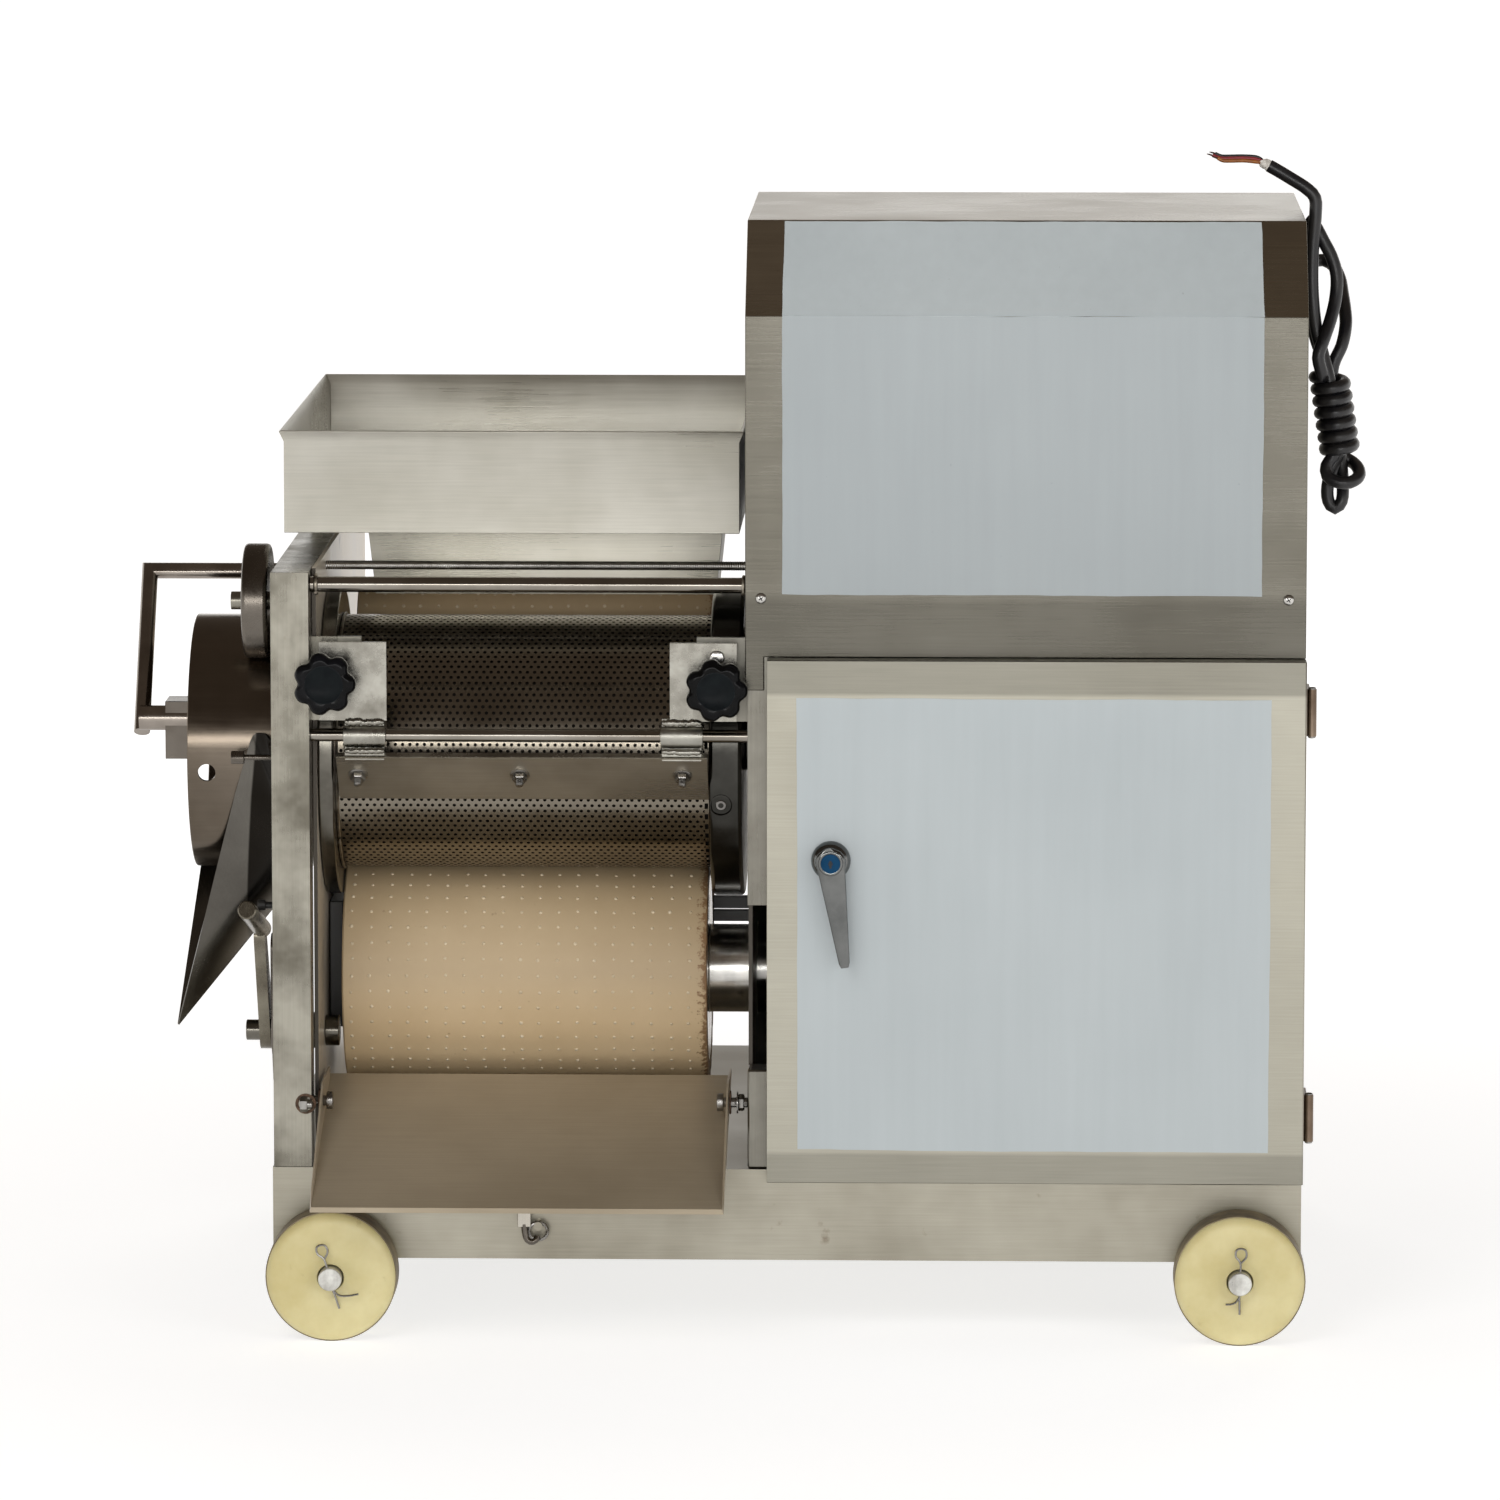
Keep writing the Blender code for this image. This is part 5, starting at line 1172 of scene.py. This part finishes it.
put("prop_ring", rod(ring_points, 0.0013, 10), "machined")
hook_route = [(0.1930, -0.0110, 0.0860), (0.1935, -0.0112, 0.0800), (0.1950, -0.0114, 0.0745),
              (0.1985, -0.0112, 0.0722), (0.2020, -0.0105, 0.0738), (0.2030, -0.0095, 0.0765)]
put("prop_hook", rod(smooth_route(hook_route, 0.0012), 0.0024, 12), "dull", STILL)

# ------------------------------------------------------------------ door, lock and hinges
DOOR_FACE = -0.0200
HANDLE = Vector((0.4272, DOOR_FACE, 0.369))
HANDLE_TIP = Vector((0.4380, 0.0, 0.2900))
rose = up([(0.0, 0.0150), (0.0026, 0.0150), (0.0050, 0.0141), (0.0070, 0.0124), (0.0084, 0.0106),
           (0.0092, 0.0094), (0.0094, 0.0052), (0.0, 0.0052)], 48, True)
put("lock_rose", turned_to(rose, HANDLE - Vector((0.0, 0.0003, 0.0))), "chrome",
    "door", ("lock_escutcheon",))


def build_handle():
    """The lever: a domed boss that narrows to a rounded tip, thickest along its middle."""
    rings = []
    start, end = Vector((HANDLE.x, HANDLE.z, 0.0)), Vector((HANDLE_TIP.x, HANDLE_TIP.z, 0.0))
    heading = (end - start).normalized()
    side = Vector((-heading.y, heading.x, 0.0))
    length = (end - start).length
    stations = 26
    for i in range(stations + 1):
        share = i / stations
        place = -0.0115 + (length + 0.0125) * share
        if place < 0.004:
            half = math.sqrt(max(0.0001 ** 2, 0.0118 ** 2 - min(0.0118, abs(place)) ** 2))
            half = max(half, 0.0012) if place < 0 else 0.0112
        else:
            half = 0.0106 - 0.0066 * (place - 0.004) / (length - 0.004)
        if share == 1.0:
            half -= 0.0010
        thick = 0.0052 - 0.0020 * max(0.0, share - 0.15)
        ring = []
        for j in range(18):
            angle = TAU * j / 18
            across = half * math.cos(angle)
            rise = thick / 2 * (abs(math.sin(angle)) ** 0.35) * (1 if math.sin(angle) >= 0 else -1)
            point = start + heading * place + side * across
            ring.append(Vector((point.x, HANDLE.y - 0.0145 - rise, point.y)))
        rings.append(ring)
    return skin(rings)


put("door_handle_lever", build_handle(), "chrome", "handle", ("door_handle",), sharp=60)
boss = up([(0.0096, 0.0092), (0.0120, 0.0094), (0.0176, 0.0094), (0.0184, 0.0090), (0.0186, 0.0082),
           (0.0184, 0.0076)], 40)
put("door_handle_boss", turned_to(boss, HANDLE), "chrome", "handle")
lock = up([(0.0176, 0.0074), (0.0188, 0.0074), (0.0192, 0.0070), (0.0193, 0.0058), (0.0191, 0.0044),
           (0.0190, 0.0001)], 40)
put("lock_core", turned_to(lock, HANDLE), "lock_blue", "handle")
# the key slot is a near-black block: painted shade in the slot
slit = merged(block((-0.0008, -0.0034, 0.0187), (0.0008, 0.0024, 0.0192)),
              up([(0.0187, 0.0017), (0.01925, 0.0017), (0.0193, 0.0012), (0.0187, 0.0011)], 20, True))
put("lock_key_slot", turned_to(slit, HANDLE), "slot_painted_shade", "handle")

HINGE = Vector((0.7908, -0.010, 0.0))
for name, height in (("upper", 0.482), ("lower", 0.171)):
    for end in (-1.0, 1.0):
        pin = up([(0.0, 0.0030), (0.0008, 0.0030), (0.0014, 0.0023), (0.0016, 0.0010)], 20)
        seat = Vector((HINGE.x, HINGE.y, height + end * 0.018))
        put(f"hinge_pin_{name}_{'top' if end > 0 else 'low'}", turned_to(pin, seat, (0.0, 0.0, end)),
            "machined")


# ------------------------------------------------------------------ protective films
FILM_UNDER, FILM_OVER = 0.00005, 0.00035    # heights of its two faces over the panel


def film(name, corners, normal, body, seed, look="film"):
    """A thin sheet with a slightly wandering cut edge, laid on a flat panel."""
    shake = random.Random(seed)
    corners = [Vector(corner) for corner in corners]
    normal = Vector(normal).normalized()
    outline = []
    for start, end in zip(corners, corners[1:] + corners[:1]):
        inward = normal.cross(end - start).normalized()
        wander = 0.0
        steps = max(3, round((end - start).length / 0.012))
        for i in range(steps):
            wander = 0.6 * wander + shake.uniform(-0.0003, 0.0003)
            outline.append(start.lerp(end, i / steps) + inward * wander)
    shape = bmesh.new()
    low = [shape.verts.new(point + normal * FILM_UNDER) for point in outline]
    high = [shape.verts.new(point + normal * FILM_OVER) for point in outline]
    shape.faces.new(low)
    shape.faces.new(high)
    for i in range(len(outline)):
        j = (i + 1) % len(outline)
        shape.faces.new((low[i], low[j], high[j], high[i]))
    bmesh.ops.recalc_face_normals(shape, faces=shape.faces)
    put(name, shape, look, body, sharp=30)


FOLD_Z, FOLD_TOP = 0.781, (0.068, 0.8484)
slant = Vector((0.0, FOLD_TOP[0], FOLD_TOP[1] - FOLD_Z))
slant_out = Vector((0.0, -slant.z, slant.y)).normalized()
slant_top = [Vector((x, 0.0, FOLD_Z)) + 0.985 * slant for x in (0.7520, 0.3900)]
# the hood's slant film takes the painted light copy of the film, its front film the painted shade copy
film("film_hood_slant", [(0.3895, 0.0, FOLD_Z), (0.7530, 0.0, FOLD_Z)] + slant_top, slant_out, STILL,
     21, "film_slant")
film("film_hood_front", [(0.3895, 0.0, 0.5695), (0.7525, 0.0, 0.5690), (0.7530, 0.0, FOLD_Z),
                         (0.3895, 0.0, FOLD_Z)], FRONT, STILL, 22, "film_front")
film("film_door", [(0.4020, DOOR_FACE, 0.1465), (0.7595, DOOR_FACE, 0.1455),
                   (0.7600, DOOR_FACE, 0.4925), (0.4010, DOOR_FACE, 0.4930)], FRONT, "door", 23)

# ------------------------------------------------------------------ hood screws
for i, x in enumerate((0.3735, 0.7728)):
    seat = Vector((x, 0.0, 0.5665))
    head = up([(0.0, 0.0042), (0.0006, 0.0042), (0.0016, 0.0036), (0.0022, 0.0024), (0.0024, 0.0002)], 28)
    put(f"hood_screw_{i}", turned_to(head, seat), "bright")
    # each screw's cross is two near-black blocks: painted shade in its recess
    for turn in (0.6, 0.6 + math.pi / 2):
        cross = block((-0.0019, -0.0004, 0.0021), (0.0019, 0.0004, 0.00255))
        bmesh.ops.transform(cross, matrix=Matrix.Rotation(turn, 4, "Z"), verts=cross.verts)
        put(f"hood_screw_slot_{i}_{round(turn)}", turned_to(cross, seat), "slot_painted_shade")

# ------------------------------------------------------------------ motor
MOTOR = Vector((0.0, 0.22407, 0.55106))
FIN_STEPS, BOX_REACH, FOOT_REACH = 30, 0.55, 0.65    # angles kept free of fins, above and below


def apart(angle, other):
    """How far two angles lie from each other."""
    return abs((angle - other + math.pi) % TAU - math.pi)


fins = []
for i in range(FIN_STEPS):
    angle = TAU * (i + 0.5) / FIN_STEPS
    if apart(angle, math.pi / 2) < BOX_REACH or apart(angle, -math.pi / 2) < FOOT_REACH:
        continue
    fin = block((0.5200, -0.0011, 0.0570), (0.6500, 0.0011, 0.0645))
    turn = Matrix.Translation(MOTOR) @ Matrix.Rotation(angle - math.pi / 2, 4, "X")
    bmesh.ops.transform(fin, matrix=turn, verts=fin.verts)
    fins.append(fin)
put("motor_fins", merged(*fins), "motor_paint", bevel=0.0004)
